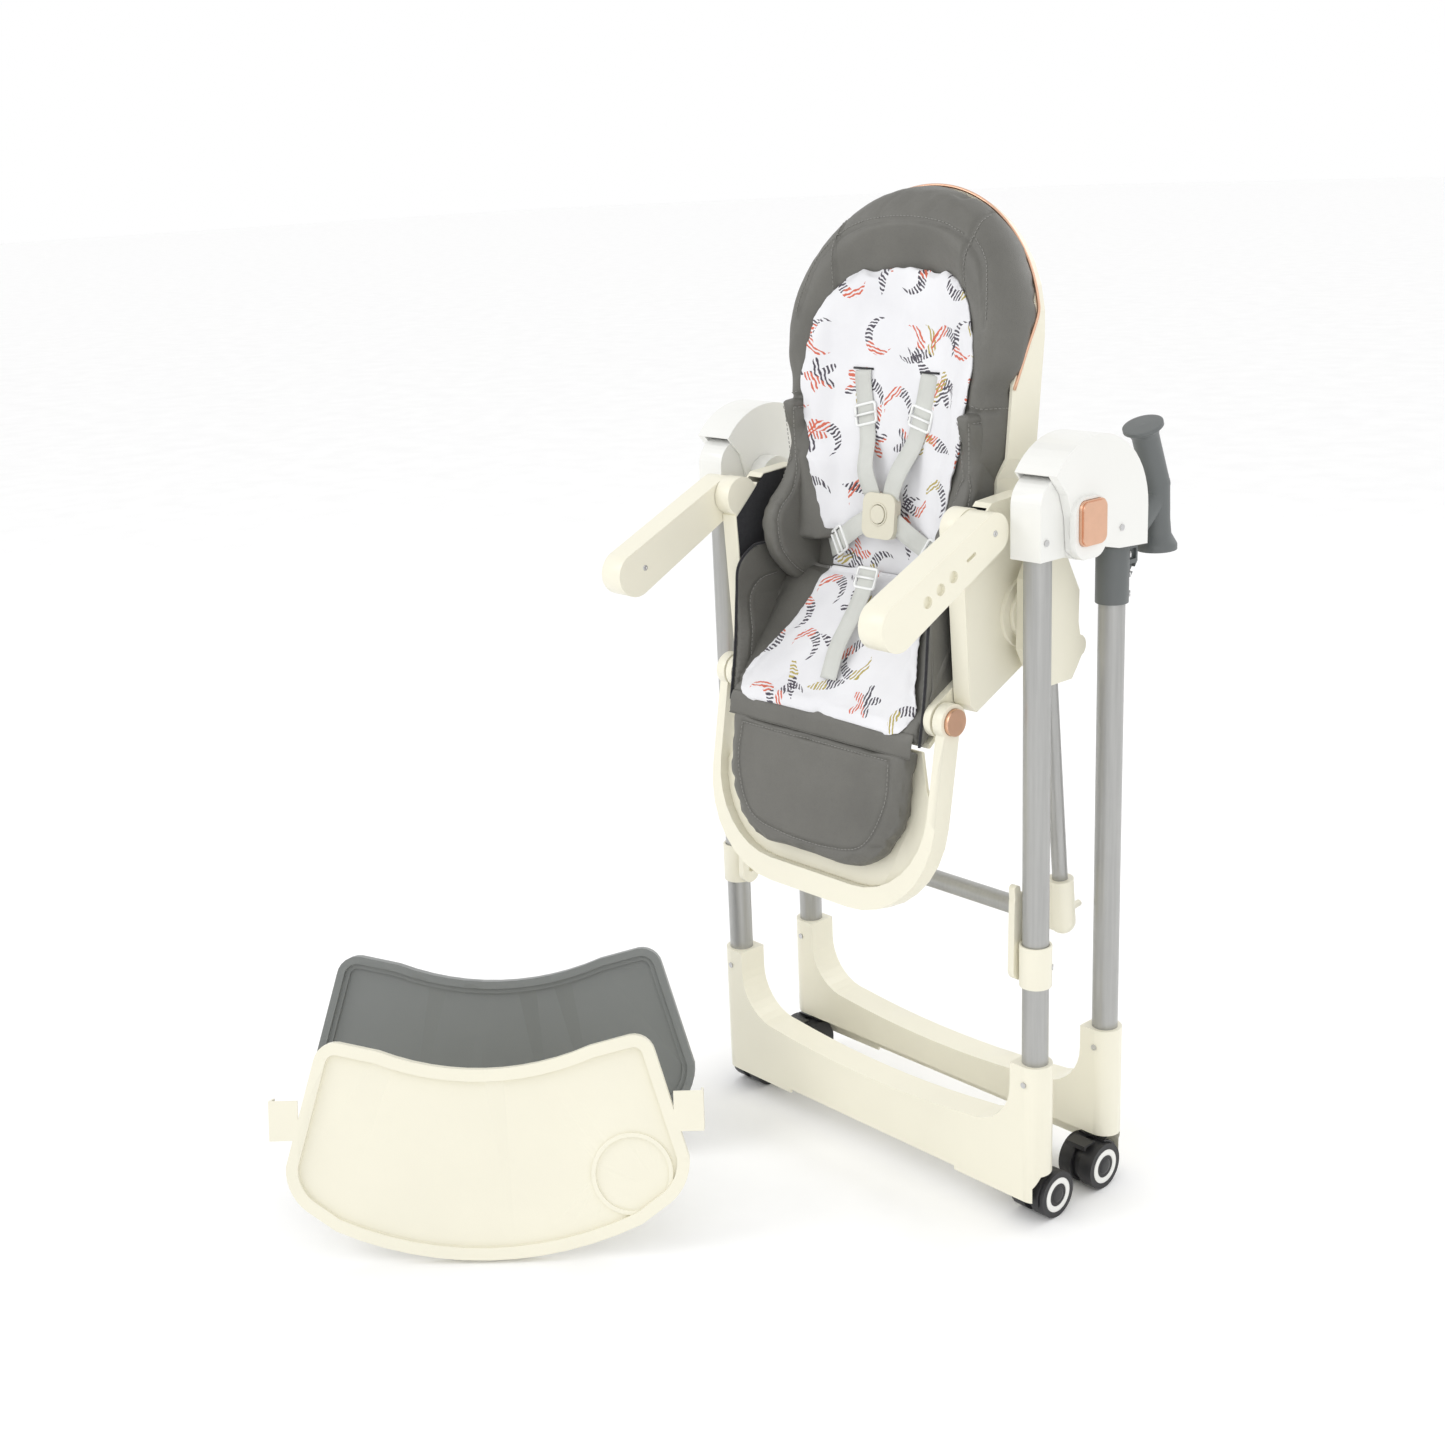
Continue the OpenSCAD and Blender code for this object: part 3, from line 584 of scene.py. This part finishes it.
def stitches(line, facing, length=0.0034, gap=0.0018, r=0.00045):
    """A row of short raised threads along a line that lies on a surface."""
    parts, run = [], 0.0
    lengths = [(b - a).length for a, b in zip(line, line[1:])]
    total = sum(lengths)
    step = length + gap

    def at(s):
        for a, b, l in zip(line, line[1:], lengths):
            if s <= l:
                return a.lerp(b, s / max(l, 1e-9))
            s -= l
        return line[-1]

    while run + length < total:
        a, b = at(run), at(run + length)
        mid = (a + b) / 2 + facing * r * 0.9
        arch = [a, a.lerp(mid, 0.6), mid, b.lerp(mid, 0.6), b]
        parts.append(sweep(arch, round_section(r, 6), up=facing))
        run += step
    return parts


def lay(bvh, point, direction, lift=0.0):
    """Where a ray from outside along direction meets the surface, lifted back by lift, or None."""
    hit = bvh.ray_cast(point - direction * 0.3, direction)
    return None if hit[0] is None else hit[0] - direction * lift


def trace(bvh, points, direction, lift=0.0):
    """The points laid on the surface, without those that miss it."""
    return [p for p in (lay(bvh, q, direction, lift) for q in points) if p]


def groove(o, line, depth, width):
    """Presses a seam into a finished pad along a line near its surface."""
    a, n = coords(o), normals(o)
    line = np.array([tuple(p) for p in line])
    best = np.full(len(a), 1e9)
    for p, q in zip(line, line[1:]):
        d = q - p
        t = np.clip(((a - p) @ d) / max(d @ d, 1e-12), 0, 1)[:, None]
        best = np.minimum(best, np.linalg.norm(a - (p + d * t), axis=1))
    set_coords(o, a - n * (depth * np.exp(-(best / width) ** 2))[:, None])


def prism(outline, low, high, place):
    """A closed slab: outline in two of place's arguments, low to high in the third."""
    n = len(outline)
    verts = [place(p, low) for p in outline] + [place(p, high) for p in outline]
    faces = [tuple(range(n))[::-1], tuple(range(n, 2 * n))]
    faces += [(i, (i + 1) % n, (i + 1) % n + n, i + n) for i in range(n)]
    return verts, faces


# ---- backrest pad ----------------------------------------------------------------------------
# The pad's section at its sides and at its top: how far inside the edge, and how far forward
SIDE = ((0, -40), (2, -54), (11, -71), (25, -76), (45, -63), (67, -44), (103, -34), (163, -32))
TOP = ((0, -10), (10, -37), (25, -53), (40, -58), (60, -50), (85, -38), (110, -34), (163, -32))
ARCH_Z, ARCH_R, ARCH_HALF, PAD_FOOT = 278, 160.5, 165, 31
REAR = -8                                # the pad's flat rear inside the shell
DEPTHS = [0, 1, 3, 6, 11, 18, 26, 35, 45, 56, 68, 82, 98, 115, 135, 1e3]


def front_depth(d, rise):
    """How far the pad's face stands forward, d inside its edge; rise is 0 at the sides, 1 at the top."""
    side = np.interp(d, *zip(*SIDE))
    top = np.interp(d, *zip(*TOP))
    return side + (top - side) * rise


def half_width(z):
    return float(np.interp(z, (0, 124, 146, 218, 240, ARCH_Z), (143, 143.5, 155, 155.5, ARCH_HALF, ARCH_HALF)))


def pad_point(x, z):
    """Face depth of the backrest pad at a place in the backrest's axes."""
    if z > ARCH_Z:
        r = math.hypot(x, z - ARCH_Z)
        return float(front_depth(max(ARCH_R - r, 0), max(0, (z - ARCH_Z) / max(r, 1)) ** 1.5))
    return float(front_depth(max(half_width(z) - abs(x), 0), 0))


def backrest_rows():
    """Front and rear points of the pad's slab, in rows from its edge inwards, round its outline."""
    rows = [(-1, z) for z in np.linspace(PAD_FOOT, ARCH_Z, 34)]
    rows += [("arc", t) for t in np.linspace(math.pi, 0, 42)[1:-1]]
    rows += [(1, z) for z in np.linspace(ARCH_Z, PAD_FOOT, 34)]
    front, rear = [], []
    for kind, t in rows:
        for d in DEPTHS:
            if kind == "arc":
                r = ARCH_R - min(d, ARCH_R)
                x, z = r * math.cos(t) * (ARCH_HALF / ARCH_R), ARCH_Z + r * math.sin(t)
                y = front_depth(min(d, ARCH_R), math.sin(t) ** 1.5)
                edge = -9.5
            else:
                w = half_width(t)
                x, z = kind * (w - min(d, w)), t
                y = front_depth(min(d, w), 0)
                edge = np.interp(t, (0, 221, 225, 270, 310), (REAR, REAR, -41, -24, -9.5))
            front.append(back(x, y, z))
            rear.append(back(x, max(edge if d < 7 else REAR, y + 1.5), z))
    return front, rear, len(rows)


def make_backrest_pad():
    front, rear, m = backrest_rows()
    n = len(DEPTHS)
    faces = []
    for i in range(m - 1):
        for k in range(n - 1):
            a, b, c, d = i * n + k, i * n + k + 1, (i + 1) * n + k + 1, (i + 1) * n + k
            faces += [(a, b, c, d), (a + m * n, d + m * n, c + m * n, b + m * n)]
        faces.append((i * n, (i + 1) * n, (i + 1) * n + m * n, i * n + m * n))
    for i in (0, m - 1):
        ends = [i * n + k for k in range(n - 1)]
        faces += [(a, a + 1, a + 1 + m * n, a + m * n) for a in ends]
    pad = piece("backrest_cushion", front + rear, faces, "leather_grey", "leather_grey")
    remesh(pad, 0.005, 3)
    puff(pad, 0.004, 3)
    subdivide(pad)
    bvh = tree(pad)
    seams = []
    for s in (-1, 1):
        seams.append([(s * 99, 418), (s * 99, 397), (s * 99, 376), (s * 95, 340), (s * 97, 300)])
        seams.append([(s * 99, 376), (s * 122, 351), (s * 134, 317), (s * 140, 285)])
        seams.append([(s * 155, 196), (s * 140, 194), (s * 125, 198)])
    seams.append([(-99, 376), (-60, 391), (0, 397), (60, 391), (99, 376)])
    rows, aside = [], 0.0045
    for seam in seams:
        line = trace(bvh, [back(p.x, 0, p.y) for p in flat_spline(seam, 40)], BACK_Y)
        groove(pad, line, 0.0022, 0.0028)
        shift = Vector((aside if seam[0][0] > 0 else -aside, 0, aside))
        rows += stitches(trace(bvh, [p + shift for p in line], BACK_Y, 0.0002), -BACK_Y)
    thread = piece("backrest_stitching", *merge(rows), "thread", "leather_grey")
    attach(thread, "backrest")
    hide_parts("backrest_pad")
    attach(pad, "backrest")
    # copper piping round the pad's rear edge
    half, rise = 164.2, 159.4
    foot = [(163.6, -42, 220), (half, -26, 264), (half, -12, 300)]
    path = [back(*p) for p in foot]
    path += [back(half * math.cos(t), -8.4, ARCH_Z + rise * math.sin(t))
             for t in np.linspace(0.25, math.pi - 0.25, 30)]
    path += [back(-x, y, z) for x, y, z in foot[::-1]]
    piping = piece("backrest_piping", *sweep(spline(path, 150), round_section(0.0019)), "copper", "copper")
    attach(piping, "backrest")


WING_INNER, WING_OUTER, WING_MARGIN = 124, 145.2, 9


def make_wings():
    """The padded side wings, each with a stitched border on both faces."""
    outline = [(-90, 192), (-77, 145), (-87, 103), (-112, 66), (-115, 40), (-102, 9), (-70, -17),
               (-40, -25), (-12, -18), (-18, 30), (-30, 90), (-44, 150), (-60, 190)]
    smooth = smooth_loop(outline, 90)
    centre = Vector((-70, 70))
    border = []
    for p in smooth:
        out = Vector(p) - centre
        border.append(centre + out * (1 - WING_MARGIN / max(out.length, 20)))
    for s, side in SIDES:
        name = "backrest_wing_" + side
        slab = prism(smooth, WING_INNER, WING_OUTER, lambda p, x: back(s * x, p[0], p[1]))
        wing = piece(name, *slab, "leather_grey", "leather_grey")
        remesh(wing, 0.004, 4)
        puff(wing, 0.003, 3)
        subdivide(wing)
        bvh = tree(wing)
        rows = []
        for face in (-s, s):
            out = Vector((face, 0, 0))
            line = trace(bvh, [back(s * 134, p.x, p.y) for p in border + border[:1]], -out)
            groove(wing, line, 0.0014, 0.0022)
            rows += stitches([p + out * -0.0004 for p in line], out)
        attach(piece(name + "_stitching", *merge(rows), "thread", "leather_grey"), "backrest")
        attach(wing, "backrest")


# ---- seat and calf pads ----------------------------------------------------------------------
def pad_from(node, name, shrink, cap, body):
    """The CAD pad's own mesh, drawn in a little, then blown up as a sewn cover."""
    source = frame["nodes"][node].data
    verts, faces = [v.co for v in source.vertices], [p.vertices[:] for p in source.polygons]
    pad = piece(name, verts, faces, "leather_grey", "leather_grey")
    remesh(pad, 0.0045, 3)
    set_coords(pad, coords(pad) - normals(pad) * shrink)
    puff(pad, cap, 3)
    subdivide(pad)
    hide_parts(node)
    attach(pad, body)
    return pad, tree(pad)


CHEEK_INNER, CHEEK_MID, CHEEK_OUTER = 150.9, 152.2, 153.8
CHEEK_BULGE, CHEEK_FADE = 0.009, 14


def make_seat_pad():
    """The seat cushion with its two side cheeks, their piping and stitching."""
    bvh = pad_from("seat_pad", "seat_cushion", 0.0012, 0.003, "seat")[1]
    rows = []
    outline = smooth_loop([(-83, 574), (-73, 636), (-67, 700), (-62, 733), (-38, 753), (10, 752),
                           (36, 722), (45, 686), (-4, 642), (-60, 594)], 80)
    ring = np.array(outline)
    seam = flat_spline(((-2, 716), (-30, 712), (-47, 694), (-53, 660), (-58, 620)), 36)
    rim = ((14, 753), (-20, 755), (-40, 753), (-63, 734), (-68, 700), (-74, 636), (-84, 575))
    for s, side in SIDES:
        slab = prism(outline, CHEEK_INNER, CHEEK_OUTER, lambda p, x: chair(s * x, *p))
        cheek = piece("seat_cheek_" + side, *slab, "leather_grey", "leather_grey")
        remesh(cheek, 0.0018, 2)
        # the inner skin swells towards the seat below the armrest
        a = coords(cheek)
        y, z = (a[:, 1] - ORIGIN.y) * 1000, a[:, 2] * 1000
        away = np.min(np.hypot(y[:, None] - ring[:, 0], z[:, None] - ring[:, 1]), axis=1)
        inner = (np.abs(a[:, 0] - ORIGIN.x) < CHEEK_MID / 1000).astype(float)
        low = np.clip((694 - z) / 40, 0, 1)
        a[:, 0] -= s * inner * low * np.clip(away / CHEEK_FADE, 0, 1) ** 0.5 * CHEEK_BULGE
        set_coords(cheek, a)
        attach(cheek, "seat")
        out = Vector((s, 0, 0))
        line = trace(tree(cheek), [chair(0, p.x, p.y) for p in seam], out)
        groove(cheek, line, 0.0012, 0.0025)
        rows += stitches([p - out * 0.0003 for p in line], -out)
        edge = spline([chair(s * 151.6, y, z) for y, z in rim], 50)
        piping = piece("seat_piping_" + side, *sweep(edge, round_section(0.0017)), "black_cloth", "black_cloth")
        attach(piping, "seat")
    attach(piece("seat_stitching", *merge(rows), "thread", "leather_grey"), "seat")
    return bvh


def make_calf_pad():
    """The footrest's cushion, with a stitched panel and a seam across its top."""
    pad, bvh = pad_from("calf_pad", "calf_cushion", 0.0015, 0.004, "footrest")
    lo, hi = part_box("calf_pad")
    mid, top = (lo.x + hi.x) / 2, hi.z
    toward = Vector((0, 1, 0))

    def above_pad(x, down):
        return Vector((mid + x / 1000, lo.y, top - down / 1000))

    inner = [(-118, 12), (-118, 62), (-92, 112), (-40, 126), (40, 126), (92, 112), (118, 62), (118, 12)]
    panel = trace(bvh, [above_pad(p.x, p.y) for p in flat_spline(inner, 120)], toward)
    groove(pad, panel, 0.0018, 0.0026)
    bar = trace(bvh, [above_pad(x, 12) for x in range(-116, 118, 4)], toward)
    groove(pad, bar, 0.0014, 0.0024)
    rows = []
    for line in (panel, bar):
        rows += stitches([p - toward * 0.0002 for p in line], -toward)
    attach(piece("calf_stitching", *merge(rows), "thread", "leather_grey"), "footrest")


def flap(name, path, half, thick, material, slot):
    """A thin closed band of cloth across the chair, laid in a curve between two bodies."""
    across, down = 29, 14
    path = flat_spline(path, down)
    verts, faces = [], []
    for skin in (0, 1):
        for j, p in enumerate(path):
            for i in range(across):
                x = -half + 2 * half * i / (across - 1)
                wave = 0.5 * math.sin(x * 0.09) * math.sin(math.pi * j / (down - 1))
                verts.append(chair(x, p.x + wave + skin * thick, p.y))
    n = across * down
    for j in range(down - 1):
        for i in range(across - 1):
            a = j * across + i
            faces += [(a, a + 1, a + across + 1, a + across),
                      (a + n, a + n + across, a + n + across + 1, a + n + 1)]
    for j in range(down - 1):
        for i in (0, across - 1):
            a = j * across + i
            faces.append((a, a + across, a + across + n, a + n))
    for i in range(across - 1):
        for j in (0, down - 1):
            a = j * across + i
            faces.append((a, a + 1, a + 1 + n, a + n))
    o = piece(name, verts, faces, material, slot)
    subdivide(o)
    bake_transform(o)


def make_flaps():
    """Leather from the seat's front lip to the calf pad, and the liners' turn at the seat's rear crease."""
    calf_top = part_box("calf_pad")[1].z * 1000
    flap("knee_flap", [(-86, 589), (-90.5, 580), (-92, 571), (-93.5, 562), (-95, calf_top - 5)], 146, 2.4,
         "leather_grey", "leather_grey")
    flap("crease_leather", [(39, 722), (42, 735), (44, 750), (44, 764), (43, 776)], 123, 3,
         "leather_grey", "leather_grey")
    flap("crease_print", [(31.5, 727), (33.5, 738), (35, 750), (34.5, 762), (33, 772)], 90, 5,
         "white_cloth", "white_cloth")


# ---- printed insert --------------------------------------------------------------------------
INSERT_FOOT, INSERT_ROUND = 1.2, 16      # an insert's thickness at its edge, and the width of its rounding


def quilt(name, outline, place, thick, material, body, waves):
    """A thin padded liner: outline in the surface's own two axes, warped onto it by place(u, v, height)."""
    smooth = smooth_loop(outline, 110)
    slab = prism(smooth, 0.0, thick, lambda p, h: Vector((p[0], p[1], h)) / 1000)
    o = piece(name, *slab, material, "white_cloth")
    remesh(o, 0.0045, 3)
    a = coords(o) * 1000
    ring = np.array(smooth)
    away = np.min(np.linalg.norm(a[:, None, :2] - ring[None], axis=2), axis=1)
    edge = np.clip(away / INSERT_ROUND, 0, 1) ** 0.5
    fold = sum(k * np.sin(a[:, 0] * fx + a[:, 1] * fy + ph) for k, fx, fy, ph in waves)
    crown = INSERT_FOOT + (a[:, 2] - INSERT_FOOT) * edge + fold * edge
    height = np.where(a[:, 2] > thick * 0.5, crown, a[:, 2])
    set_coords(o, np.array([tuple(place(u, v, h)) for u, v, h in zip(a[:, 0], a[:, 1], height)]))
    puff(o, 0.0035, 4, -0.08)
    subdivide(o)
    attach(o, body)
    return o


def mirrored(half):
    """A closed outline from its right half."""
    return [(-u, v) for u, v in half[::-1]] + half


def make_inserts(seat_tree):
    """The printed insert's back and seat parts; gives the back part's ray tree."""
    def on_back(u, v, h):
        return back(u, pad_point(u, v) - 4.5 - h, v)

    half = [(45, 346), (92, 326), (119, 286), (128, 240), (126, 200), (118, 150), (106, 100),
            (97, 66), (92, 48), (82, 43), (40, 42)]
    waves = ((0.9, 0.09, 0.02, 0), (0.7, -0.05, 0.07, 1), (0.6, 0.02, 0.12, 2), (0.5, 0.16, -0.06, 4))
    insert = quilt("insert_back", mirrored(half), on_back, 9, "white_cloth", "backrest", waves)
    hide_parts("back_liner")
    back_tree = tree(insert)

    # the seat part runs down the sloping pan from the crease and turns over its front lip
    run = [(34, 730), (11, 706), (-19, 666), (-47, 632), (-69, 606), (-86, 591), (-90, 583), (-89, 572)]
    lengths = [0.0]
    for a, b in zip(run, run[1:]):
        lengths.append(lengths[-1] + math.hypot(b[0] - a[0], b[1] - a[1]))
    reach = 6

    def along_run(v):
        return [np.interp(v, lengths, axis) for axis in zip(*run)]

    def on_seat(u, v, h):
        (y, z), (y2, z2), (y1, z1) = along_run(v), along_run(v + reach), along_run(v - reach)
        t = Vector((0, y2 - y1, z2 - z1)).normalized()
        out = Vector((1, 0, 0)).cross(t)
        p, n = chair(u, y, z), out if out.y < 0 or out.z > 0 else -out
        hit = seat_tree.ray_cast(p + n * 0.04, -n, 0.08)
        base = hit[0] if hit[0] is not None else p
        return base + n * (0.0016 + h / 1000)

    end = lengths[-1]
    half = [(60, 2), (86, 6), (92, 40), (104, 82), (120, 118), (134, 152), (134, 176),
            (122, end - 14), (96, end - 5), (62, end - 2), (12, end - 2), (2, end - 12)]
    waves = ((0.8, 0.06, 0.05, 0), (0.7, -0.07, 0.03, 1), (0.5, 0.12, 0.1, 3))
    insert = quilt("insert_seat", mirrored(half), on_seat, 8, "seat_print", "seat", waves)
    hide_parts("seat_liner")
    return back_tree


# ---- harness ---------------------------------------------------------------------------------
WEBBING = 0.0013
ADJUSTER_HALF, ADJUSTER_CORNER = 0.0115, 0.003


def adjuster(centre, along, facing, width):
    """A triglide: a rounded plastic frame with two windows, the strap's width."""
    along, facing = along.normalized(), facing.normalized()
    across = along.cross(facing)
    w, r = width / 2000, ADJUSTER_CORNER
    ring = []
    for cx, cy, t0 in ((1, 1, 0), (-1, 1, 90), (-1, -1, 180), (1, -1, 270)):
        for k in range(5):
            t = math.radians(t0 + 22.5 * k)
            ring.append(centre + across * (cx * (w - r) + r * math.cos(t))
                        + along * (cy * (ADJUSTER_HALF - r) + r * math.sin(t)))
    bar = [centre - across * w, centre - across * w * 0.3, centre + across * w * 0.3, centre + across * w]
    return [sweep(ring, round_section(0.0017, 8), up=facing, closed=True),
            sweep([p + facing * 0.0016 for p in bar], round_section(0.0015, 8), up=facing)]


def on_strap(path, i, facing, width):
    """An adjuster round the strap at its path's point i."""
    return adjuster(path[i] + facing * 0.001, path[i + 1] - path[i - 1], facing, width)


def strap(name, points, facing, width, body):
    path = spline(points, 36)
    o = piece(name, *sweep(path, tape_section(width / 1000, WEBBING), up=facing), "webbing", "webbing")
    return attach(o, body), path


def make_harness(seat_tree, insert_tree):
    """Shoulder straps from the slots to the buckle, waist straps, crotch strap and their adjusters."""
    frames = []
    out = -BACK_Y
    # x and z on the insert, and the lift above it in metres
    slot_run = [(51, 232, -0.004), (50.5, 227, 0.0015), (48, 205, 0.0016), (41, 175, 0.0022), (35, 150, 0.004)]
    for s, side in SIDES:
        pts = [lay(insert_tree, back(s * x, 0, z), BACK_Y, lift) or back(s * x, -60, z)
               for x, z, lift in slot_run]
        pts += [back(s * 26, -67, 120), back(s * 17, -66, 98), back(s * 15, -63.5, 90)]
        o, path = strap("shoulder_strap_" + side, pts, out, 25, "backrest")
        if s < 0:
            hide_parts("harness_straps")
        frames += on_strap(path, 14, out, 31)
        pts = [back(s * x, y, z) for x, y, z in
               ((21, -62, 62), (42, -61, 50), (62, -56, 38), (82, -50, 26), (96, -44, 20))]
        o, path = strap("waist_strap_" + side, pts, out, 24, "backrest")
        frames += on_strap(path, 22, out, 30)
    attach(piece("harness_adjusters", *merge(frames), "clear_white", "webbing"), "backrest")
    n = Vector((0, -0.8, 0.6))
    pts = []
    for y, z in ((9, 738), (-2, 706), (-24, 676), (-46, 650), (-66, 620)):
        p = chair(0, y, z)
        hit = seat_tree.ray_cast(p + n * 0.06, -n, 0.12)
        pts.append((hit[0] if hit[0] is not None else p) + n * 0.0185)
    pts[-1] -= n * 0.009
    pts[0] = chair(0, 2, 741)
    o, path = strap("crotch_webbing", pts, n, 25, "seat")
    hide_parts("crotch_strap")
    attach(piece("crotch_adjuster", *merge(on_strap(path, 4, n, 31)), "clear_white", "webbing"), "seat")


# ---- side cloth ------------------------------------------------------------------------------
PANEL_FACE, CLOTH_RIPPLE = 164.4, 0.00025


def make_side_cloth():
    """Black cloth stretched over the inner face of each side panel."""
    outline = [(-51, 789), (-41, 621), (-31, 611), (61, 655), (60, 827), (50, 838), (-5, 834)]
    pairs = zip(outline, outline[1:] + outline[:1])
    area = abs(sum(a[0] * b[1] - b[0] * a[1] for a, b in pairs)) / 2e6
    for s, side in SIDES:
        bm = bmesh.new()
        ring = [bm.verts.new(chair(s * PANEL_FACE, y, z)) for y, z in outline]
        bm.faces.new(ring)
        bmesh.ops.triangulate(bm, faces=bm.faces)
        bmesh.ops.subdivide_edges(bm, edges=bm.edges, cuts=14, use_grid_fill=True)
        for v in bm.verts:
            y, z = (v.co.y - ORIGIN.y) * 1000, v.co.z * 1000
            ripple = math.sin(y * 0.16 + 1.5 * math.sin(z * 0.05)) * math.sin(z * 0.045)
            v.co.x += s * CLOTH_RIPPLE * ripple
        mesh = bpy.data.meshes.new("side_cloth_" + side)
        bm.to_mesh(mesh)
        bm.free()
        mesh.polygons.foreach_set("use_smooth", [True] * len(mesh.polygons))
        mesh.materials.append(MATERIALS["black_cloth"])
        o = bpy.data.objects.new("side_cloth_" + side, mesh)
        SCENE.collection.objects.link(o)
        if s < 0:
            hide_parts("side_lining")
        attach(o, "carriage")


# ---- small hard trim -------------------------------------------------------------------------
def make_caster_trim():
    """A white ring and a black cap on each caster's outer wheel."""
    ring = [(21, -0.4), (21, 0.5), (19.6, 1.0), (15.4, 1.0), (14, 0.5), (14, -0.4)]
    cap = [(0.01, 1.5), (5, 1.4), (8.6, 0.9), (9.6, 0.1), (9.6, -0.4), (0.01, -0.4)]
    for end in ("front", "rear"):
        for s, side in SIDES:
            node = f"caster_wheels_{end}_{side}"
            lo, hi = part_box(node)
            mid = (lo + hi) / 2
            face = Vector((hi.x if s > 0 else lo.x, mid.y, mid.z))
            turned = lathe(ring + ring[:1], face, (s, 0, 0))
            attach(piece(node + "_ring", *turned, "hub_white", "hub_white"), node)
            turned = lathe(cap, face, (s, 0, 0))
            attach(piece(node + "_cap", *turned, "black_plastic", "black_plastic"), node)


def screw_head(centre, axis, r=3.4):
    """A round head with a dished recess."""
    profile = [(0.01, 0.5), (r * 0.34, 0.5), (r * 0.42, 1.2), (r * 0.8, 1.0), (r, 0.3), (r, -0.5), (0.01, -0.5)]
    return lathe(profile, centre, axis, 28)


ARM_PIVOT_Y, ARM_PIVOT_Z, ARM_SLOPE, ARM_SCREW = -40, 812, 26, 150


def make_screws():
    """Screws at the armrests' pivots, and one near the left armrest's tip."""
    slope = math.radians(ARM_SLOPE)
    tip_y = ARM_PIVOT_Y - ARM_SCREW * math.cos(slope)
    tip_z = ARM_PIVOT_Z - ARM_SCREW * math.sin(slope)
    for s, side in SIDES:
        lo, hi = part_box("armrest_" + side)
        heads = [(lo.x, -1, ARM_PIVOT_Y, ARM_PIVOT_Z), (hi.x, 1, ARM_PIVOT_Y, ARM_PIVOT_Z)]
        if s < 0:
            heads.append((hi.x, 1, tip_y, tip_z))
        parts = []
        for x, axis, y, z in heads:
            parts.append(screw_head(Vector((x, chair(0, y, 0).y, z / 1000)), (axis, 0, 0)))
        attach(piece(f"armrest_{side}_screws", *merge(parts), "steel", "steel"), "armrest_" + side)


def make_small_trim(insert_tree):
    """Slots for the shoulder straps, the buckle's ring, and the rib and screws on the backrest's rear."""
    parts = []
    for s in (-1, 1):
        across = [back(s * 51 + k * 15, 0, 232) for k in (-1, -0.4, 0.4, 1)]
        parts.append(sweep(trace(insert_tree, across, BACK_Y, 0.0003), round_section(0.0013, 8), up=BACK_Y))
    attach(piece("shoulder_slots", *merge(parts), "black_cloth", "black_cloth"), "backrest")
    ring = [(11.4, -0.2), (11.4, 0.9), (12.2, 1.3), (13.2, 0.9), (13.4, -0.2)]
    turned = lathe(ring + ring[:1], back(0, -68, 70), -BACK_Y)
    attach(piece("buckle_ring", *turned, "buckle_beige", "buckle_beige"), "backrest")
    rear, heights = 4, (230, 180, 130, 80, 58)
    flat = [(134 * math.cos(t), 274 + 134 * math.sin(t)) for t in np.linspace(0, math.pi, 40)]
    flat += [(-124, z) for z in heights] + [(x, 52) for x in (-116, -60, 0, 60, 116)]
    flat += [(124, z) for z in heights[::-1]]
    rib = sweep([back(x, rear + 0.2, z) for x, z in flat], round_section(0.0022, 8), up=BACK_Y, closed=True)
    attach(piece("backrest_rear_rib", *rib, "cream", "cream"), "backrest")
    heads = [screw_head(back(x, rear, z), BACK_Y, 3.6) for x, z in ((-96, 300), (96, 300), (-96, 90), (96, 90))]
    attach(piece("backrest_rear_screws", *merge(heads), "steel", "steel"), "backrest")


make_camera()
make_stage()
dress_cad()
make_backrest_pad()
make_wings()
seat_bvh = make_seat_pad()
make_calf_pad()
make_flaps()
insert_bvh = make_inserts(seat_bvh)
make_small_trim(insert_bvh)
make_harness(seat_bvh, insert_bvh)
make_side_cloth()
make_caster_trim()
make_screws()

SCENE.view_settings.view_transform = "Standard"
